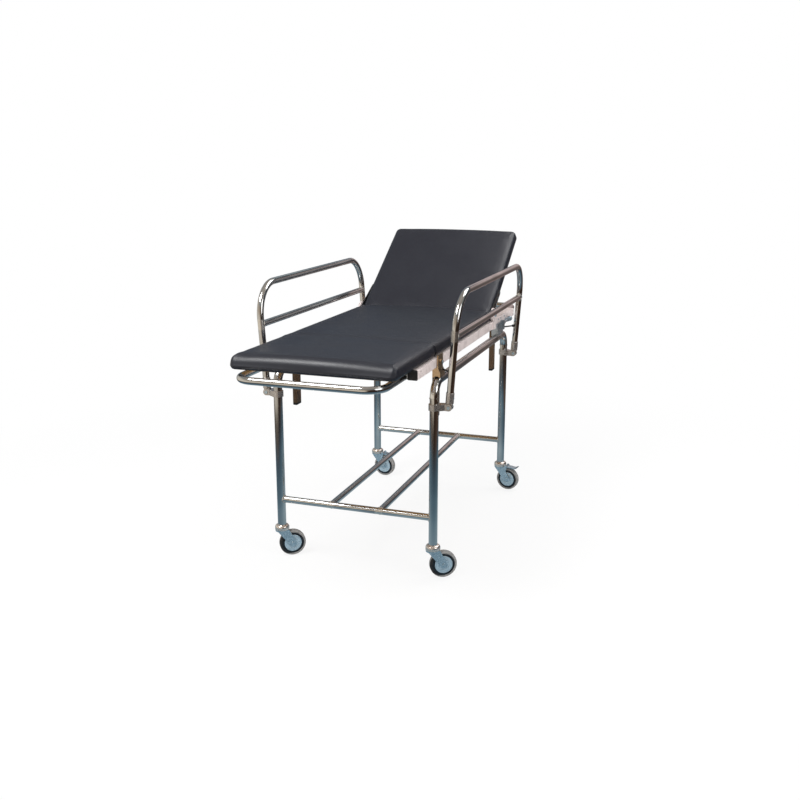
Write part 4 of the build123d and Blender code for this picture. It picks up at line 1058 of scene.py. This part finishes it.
def fill_with_air(piece, pinned, pressure, swell):
    """Fills a closed cover as cloth under pressure, its underside held and no point moved far."""
    start = [vertex.co.copy() for vertex in piece.data.vertices]
    group = piece.vertex_groups.new(name="held")
    group.add(pinned, 1.0, "REPLACE")
    cloth = piece.modifiers.new("Cloth", "CLOTH")
    cloth.settings.quality = 6
    cloth.settings.use_pressure = True
    cloth.settings.uniform_pressure_force = pressure
    cloth.settings.effector_weights.gravity = 0
    cloth.settings.vertex_group_mass = group.name
    scene = bpy.context.scene
    for number in range(1, 21):
        scene.frame_set(number)
    graph = bpy.context.evaluated_depsgraph_get()
    filled = [vertex.co.copy() for vertex in piece.evaluated_get(graph).data.vertices]
    piece.modifiers.remove(cloth)
    piece.vertex_groups.clear()
    for vertex, before, after in zip(piece.data.vertices, start, filled):
        move = after - before
        if move.length > swell:
            move *= swell / move.length
        vertex.co = before + move
    scene.frame_set(1)


def subdivide(piece, levels):
    """Applies a subdivision surface."""
    modifier = piece.modifiers.new("Subdivision", "SUBSURF")
    modifier.levels = levels
    modifier.render_levels = levels
    applied(piece, modifier)


def joint(name):
    """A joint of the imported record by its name."""
    return next(j for j in frame["joints"] if j["name"] == name)


def cushions():
    """The foot and seat cushions on the deck, and the back cushion on its hinge."""
    sizes = bpy.context.scene.trolley_cushions
    corner, seam = sizes.front_corner, sizes.seam_corner
    side_roll, seam_roll, end_roll = sizes.edge_roll, sizes.seam_roll, sizes.end_roll
    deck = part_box("foot_board")[0].z
    found = []
    plans = [
        ("foot_cushion", (corner, seam), (side_roll, end_roll, seam_roll)),
        ("seat_cushion", (seam, seam), (side_roll, seam_roll, side_roll)),
    ]
    for name, radii, rolls in plans:
        low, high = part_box(name)
        ends = (low.y + 0.4 * MM, high.y - 0.4 * MM)
        found.append(Cushion(name, "stretcher", *ends, radii, rolls, sizes.bulge, (0, 0, deck), 0.0, 0.0))
    tilt = joint("back_tilt")
    pivot = Vector(tilt["pos_m"])
    angle = radians(-tilt["range_deg"][0])
    along = Vector((0, cos(angle), sin(angle)))
    back = frame["nodes"]["back_cushion"].data.vertices
    reach = max((vertex.co - pivot).dot(along) for vertex in back)
    start = min((vertex.co - pivot).dot(along) for vertex in back)
    rolls = (side_roll, side_roll, side_roll)
    ends = (start, reach - 0.4 * MM)
    bulge = sizes.bulge / 2
    found.append(Cushion("back_cushion", "back", *ends, (seam, corner), rolls, bulge, pivot, angle, start))
    return found


def over_cross_member(cushion, u):
    """Whether a cross member passes near this place of the back board once the back lies flat."""
    flat = cushion.origin.y + u
    rungs = [vertex.co.y for vertex in frame["nodes"]["cross_members"].data.vertices]
    return any(abs(flat - rung) < 13 * MM for rung in rungs)


class TROLLEY_OT_staples(Operator):
    """Sets staples along the vinyl that is folded under each board"""

    bl_idname = "trolley.staples"
    bl_label = "Staples"

    def execute(self, context):
        sizes = context.scene.trolley_fittings
        flap = context.scene.trolley_cushions.flap
        tree = facing_tree()
        template = link(mesh_of("staple", lambda shape: self.staple(shape, sizes)), "staple")
        for cushion in cushions():
            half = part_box(cushion.name)[1].x
            places = []
            down = cushion.place(0, 0, -1) - cushion.place(0, 0, 0)
            sides = cushion.rim(half, [flap * 0.84] * 3, 12, 12)
            for side in sides:
                first, last = side[2], side[-3]
                count = max(2, round((last - first).length / sizes.staple_gap))
                for number in range(count + 1):
                    spot = first.lerp(last, number / count)
                    if cushion.tilt and (spot.y < 0.02 or over_cross_member(cushion, spot.y)):
                        continue
                    way = (last - first).normalized()
                    along = cushion.place(way.x, way.y, 0) - cushion.place(0, 0, 0)
                    places.append((cushion.place(spot.x, spot.y, -0.4 * MM), down, along))
            name = cushion.name.replace("cushion", "staples")
            piece = grow(name, points_mesh(name, places), tree, Part=template, Finish=finishes["weld"])
            settle(piece, "weld", cushion.body)
            crisp(piece)
        bpy.data.objects.remove(template)
        return {"FINISHED"}

    def staple(self, shape, sizes):
        """The crown of a staple with its two ends turned in."""
        wire, half = sizes.staple_wire, sizes.staple / 2
        outline = [(-half, -wire), (-half, wire * 0.4), (-half + wire, wire * 0.8), (half - wire, wire * 0.8),
                   (half, wire * 0.4), (half, -wire)]
        faces = []
        for y in (-wire / 2, wire / 2):
            faces.append(shape.faces.new([shape.verts.new((x, y, z)) for x, z in outline]))
        bmesh.ops.bridge_loops(shape, edges=[edge for face in faces for edge in face.edges])


class TROLLEY_OT_welds(Operator):
    """Runs weld beads round the ends of the bars and along the joints of the stretcher frame"""

    bl_idname = "trolley.welds"
    bl_label = "Welds"

    def execute(self, context):
        sizes = context.scene.trolley_welds
        tree = bead_tree()
        groups = {
            "base": self.base_paths(),
            "stretcher": self.stretcher_paths(),
            "rail_left": self.rail_paths("left"),
            "rail_right": self.rail_paths("right"),
        }
        for body, paths in groups.items():
            name = body + "_welds"
            values = {"Width": sizes.bead, "Ripple": sizes.ripple, "Finish": finishes["weld"]}
            piece = grow(name, paths_mesh(name, paths), tree, **values)
            settle(piece, "weld", body)
        return {"FINISHED"}

    def base_paths(self):
        """Cross bars on the legs, long bars on the cross bars."""
        paths = []
        for end_name, end in ENDS.items():
            low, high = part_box(f"cross_bar_{end_name}")
            bar = (low + high) / 2
            bar_r = (high.z - low.z) / 2
            for side_name, side in SIDES.items():
                leg_low, leg_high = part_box(f"leg_{end_name}_{side_name}")
                leg = (leg_low + leg_high) / 2
                leg_r = (leg_high.x - leg_low.x) / 2
                centre = (leg.x, leg.y, bar.z)
                paths.append((saddle_path(centre, (-side, 0, 0), bar_r, (0, 0, 1), leg_r), True))
            low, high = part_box("long_bars")
            long_r = (high.z - low.z) / 2
            for side in SIDES.values():
                centre = (side * (high.x - long_r), bar.y, bar.z)
                paths.append((saddle_path(centre, (0, -end, 0), long_r, (1, 0, 0), bar_r), True))
        return paths

    def stretcher_paths(self):
        """The arms of the loops and the ends of the cross members, along the side members."""
        paths = []
        member_low, member_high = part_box("side_member_right")
        inner_x = member_low.x
        loop_low, loop_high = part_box("loop_foot")
        arm_r = (loop_high.z - loop_low.z) / 2
        arm_z = (loop_high.z + loop_low.z) / 2
        for side in SIDES.values():
            for end in ENDS.values():
                start = end * (member_high.y - 95 * MM)
                stop = end * (member_high.y - 30 * MM)
                for lift in (-1, 1):
                    spot = (side * (inner_x - 1.5 * MM), arm_z + lift * arm_r * 0.45)
                    paths.append(([(spot[0], start, spot[1]), (spot[0], stop, spot[1])], False))
        cross_low, cross_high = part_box("cross_members")
        half_w = 12.5 * MM
        for middle in (cross_low.y + half_w, 298 * MM, cross_high.y - half_w):
            for side in SIDES.values():
                for edge in (-1, 1):
                    y = middle + edge * (half_w + 0.4 * MM)
                    x = side * (inner_x - 0.8 * MM)
                    paths.append(([(x, y, cross_low.z + 4 * MM), (x, y, cross_high.z - 4 * MM)], False))
        return paths

    def rail_paths(self, side):
        """The ends of the mid bar on the two uprights."""
        low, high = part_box(f"rail_mid_bar_{side}")
        mid_r = (high.z - low.z) / 2
        centre = (low + high) / 2
        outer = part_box(f"rail_frame_{side}")[1].y
        lean = RAIL_LEAN * SIDES[side]
        up = (sin(lean), 0, cos(lean))
        paths = []
        for end in ENDS.values():
            y = end * (outer - RAIL_TUBE_R)
            middle = (centre.x, y, centre.z)
            paths.append((saddle_path(middle, (0, -end, 0), mid_r, up, RAIL_TUBE_R), True))
        return paths


def saddle_path(centre, branch, branch_r, main, main_r, steps=40):
    """The closed line where a tube along branch meets, square on, a tube along main."""
    centre, branch, main = Vector(centre), Vector(branch), Vector(main).normalized()
    across = branch.cross(main)
    radius = branch_r + 0.7 * MM
    points = []
    for step in range(steps):
        angle = tau * step / steps
        out = sqrt(max(main_r ** 2 - (radius * cos(angle)) ** 2, 0.0)) + 0.5 * MM
        points.append(centre + branch * out + across * (radius * cos(angle)) + main * (radius * sin(angle)))
    return points


class TROLLEY_OT_wheel_covers(Operator):
    """Sets a pressed cover with a raised ring on each face of each wheel"""

    bl_idname = "trolley.wheel_covers"
    bl_label = "Wheel covers"

    def execute(self, context):
        sizes = context.scene.trolley_fittings
        for corner in CORNERS:
            spin = joint(f"wheel_spin_{corner}")
            mesh = mesh_of(f"wheel_covers_{corner}", lambda shape: self.covers(shape, sizes, spin))
            piece = link(mesh, f"wheel_covers_{corner}")
            settle(piece, "cover", f"wheel_{corner}")
            crisp(piece, 40)
        return {"FINISHED"}

    def covers(self, shape, sizes, spin):
        """Both covers of a wheel: in over the raised ring to the hub, and back along the face."""
        inner, outer, skin = sizes.cover_inner, sizes.cover_outer, sizes.cover_skin
        face = 12 * MM
        ring = (inner + outer) / 2
        for side in (-1, 1):
            outside = [
                (face + 0.2 * MM, outer),
                (face + skin, outer - 1.0 * MM),
                (face + skin, outer - 3.0 * MM),
                (face + 0.5 * skin, outer - 4.5 * MM),
                (face + 0.5 * skin, ring + 3.0 * MM),
                (face + 1.9 * skin, ring + 1.5 * MM),
                (face + 1.9 * skin, ring - 1.5 * MM),
                (face + skin, ring - 3.0 * MM),
                (face + skin, inner + 1.0 * MM),
                (face + 1.6 * skin, inner),
            ]
            profile = outside + [(face, inner), (face, outer)]
            turned(shape, [(side * along, radius) for along, radius in profile], spin["pos_m"], spin["axis"])


class TROLLEY_OT_screws(Operator):
    """Sets cross-recessed screws on the hinge plates and arms, and grub screws in the rail sockets"""

    bl_idname = "trolley.screws"
    bl_label = "Screws"

    def execute(self, context):
        sizes = context.scene.trolley_fittings
        tree = facing_tree()
        heads = {
            "plate": self.head("plate_screw", sizes.plate_screw, "cross"),
            "socket": self.head("socket_screw", sizes.socket_screw, "hex"),
            "clamp": self.head("clamp_screw", 13.0 * MM, "hex"),
        }
        jobs = [
            ("hinge_plate_screws", "stretcher", "plate", self.plate_places()),
            ("hinge_arm_screws", "back", "plate", self.arm_places()),
            ("saddle_screws", "base", "clamp", self.saddle_places()),
            ("rail_socket_screws_left", "rail_left", "socket", self.socket_places("left")),
            ("rail_socket_screws_right", "rail_right", "socket", self.socket_places("right")),
        ]
        for name, body, head, places in jobs:
            piece = grow(name, points_mesh(name, places), tree, Part=heads[head], Finish=finishes["zinc"])
            settle(piece, "zinc", body)
            crisp(piece)
        for head in heads.values():
            bpy.data.objects.remove(head)
        return {"FINISHED"}

    def head(self, name, diameter, drive):
        """A domed screw head on its own Z, with a cross or hexagon recess."""
        radius = diameter / 2
        tall = 0.42 * radius
        rises = [pi / 2 * i / 6 for i in range(6)]
        dome = [(radius * cos(rise), 0.25 * tall + 0.75 * tall * sin(rise)) for rise in rises]

        def build(shape):
            rings = []
            for r, z in [(radius, -0.3 * MM)] + dome:
                turns = [tau * i / 24 for i in range(24)]
                rings.append([shape.verts.new((r * cos(turn), r * sin(turn), z)) for turn in turns])
            for low, high in zip(rings, rings[1:]):
                for i in range(24):
                    shape.faces.new((low[i], low[(i + 1) % 24], high[(i + 1) % 24], high[i]))
            shape.faces.new(rings[0][::-1])
            shape.faces.new(rings[-1])

        def cut(shape):
            count = 6 if drive == "hex" else 4
            wide = radius * (0.48 if drive == "hex" else 0.55)
            spokes = [Matrix.Rotation(tau * i / count, 3, "Z") @ Vector((wide, 0, 0)) for i in range(count)]
            if drive == "hex":
                outlines = [spokes]
            else:
                thin = radius * 0.12
                outlines = []
                for turn in (0, pi / 2):
                    spin = Matrix.Rotation(turn, 3, "Z")
                    box = [(-wide, -thin, 0), (wide, -thin, 0), (wide, thin, 0), (-wide, thin, 0)]
                    outlines.append([spin @ Vector(point) for point in box])
            for outline in outlines:
                low = shape.faces.new([shape.verts.new((p.x, p.y, 0.3 * tall)) for p in outline])
                raised = bmesh.ops.extrude_face_region(shape, geom=[low])["geom"]
                lifted = [v for v in raised if isinstance(v, bmesh.types.BMVert)]
                bmesh.ops.translate(shape, vec=(0, 0, 2 * tall), verts=lifted)

        made = link(mesh_of(name, build), name)
        tool = link(mesh_of(name + "_recess", cut), name + "_recess")
        modifier = made.modifiers.new("Recess", "BOOLEAN")
        modifier.object = tool
        modifier.operation = "DIFFERENCE"
        modifier.solver = "EXACT"
        modifier.use_self = True
        applied(made, modifier)
        bpy.data.objects.remove(tool)
        return made

    def plate_places(self):
        """Three screws on the outer face of each hinge plate, above the saddle's cheek."""
        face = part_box("side_member_right")[1].x + 4 * MM
        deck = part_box("foot_board")[0].z
        rows = []
        for side in SIDES.values():
            for y in (0.392, 0.432, 0.494):
                rows.append(((side * face, y, deck - 4 * MM), (side, 0, 0), (0, 0.9, 0.4)))
        return rows

    def arm_places(self):
        """Three screws on each arm, on the heads that the arm has."""
        back = cushions()[2]
        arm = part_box("hinge_arms")[1].x
        rows = []
        for side in SIDES.values():
            for u in (0.075, 0.112, 0.149):
                spot = back.place(0, u, 0) - back.place(0, 0, 0) + back.origin
                down = back.place(0, 0, -0.010) - back.place(0, 0, 0)
                rows.append(((side * arm, *(spot + down)[1:]), (side, 0, 0), (0, 0.5, 0.8)))
        return rows

    def saddle_places(self):
        """The clamp screw on the cheek of each front saddle."""
        low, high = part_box("saddles_front")
        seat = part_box("side_member_right")[0].z
        y, z = (low.y + high.y) / 2, seat + 16.7 * MM
        return [((side * high.x, y, z), (side, 0, 0), (0, 1, 0)) for side in SIDES.values()]

    def socket_places(self, side):
        """A grub screw on the outer face of each rail socket."""
        end_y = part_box(f"rail_end_fittings_{side}")[1].y
        fold = joint(f"rail_fold_{side}")["pos_m"]
        lean = RAIL_LEAN
        rise = 34 * MM
        out = Vector((SIDES[side] * cos(lean), 0, -sin(lean)))
        rows = []
        for end in ENDS.values():
            foot = Vector((fold[0], end * (end_y - 14.5 * MM), fold[2]))
            middle = foot + Vector((SIDES[side] * sin(lean), 0, cos(lean))) * rise
            rows.append((middle + out * 14.4 * MM, out, (0, 1, 0)))
        return rows


# Panel and registration


class TROLLEY_PT_dressing(Panel):
    """Lists the operators in the order that they run"""

    bl_idname = "TROLLEY_PT_dressing"
    bl_label = "Stretcher trolley"
    bl_space_type = "VIEW_3D"
    bl_region_type = "UI"
    bl_category = "Trolley"

    def draw(self, context):
        for operator in operators:
            self.layout.operator(operator.bl_idname)


operators = (
    TROLLEY_OT_studio,
    TROLLEY_OT_finishes,
    TROLLEY_OT_cushions,
    TROLLEY_OT_staples,
    TROLLEY_OT_welds,
    TROLLEY_OT_wheel_covers,
    TROLLEY_OT_screws,
)
groups = {
    "trolley_colours": TrolleyColours,
    "trolley_cushions": CushionSizes,
    "trolley_welds": WeldSizes,
    "trolley_fittings": FittingSizes,
    "trolley_studio": StudioSizes,
}


def register():
    for name, group in groups.items():
        bpy.utils.register_class(group)
        setattr(bpy.types.Scene, name, PointerProperty(type=group))
    for operator in operators:
        bpy.utils.register_class(operator)
    bpy.utils.register_class(TROLLEY_PT_dressing)


def unregister():
    bpy.utils.unregister_class(TROLLEY_PT_dressing)
    for operator in reversed(operators):
        bpy.utils.unregister_class(operator)
    for name, group in groups.items():
        delattr(bpy.types.Scene, name)
        bpy.utils.unregister_class(group)


def main():
    """Runs every operator in order."""
    register()
    bpy.ops.trolley.studio()
    bpy.ops.trolley.finishes()
    bpy.ops.trolley.cushions()
    bpy.ops.trolley.staples()
    bpy.ops.trolley.welds()
    bpy.ops.trolley.wheel_covers()
    bpy.ops.trolley.screws()
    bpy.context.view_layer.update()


if __name__ == "__main__":
    main()
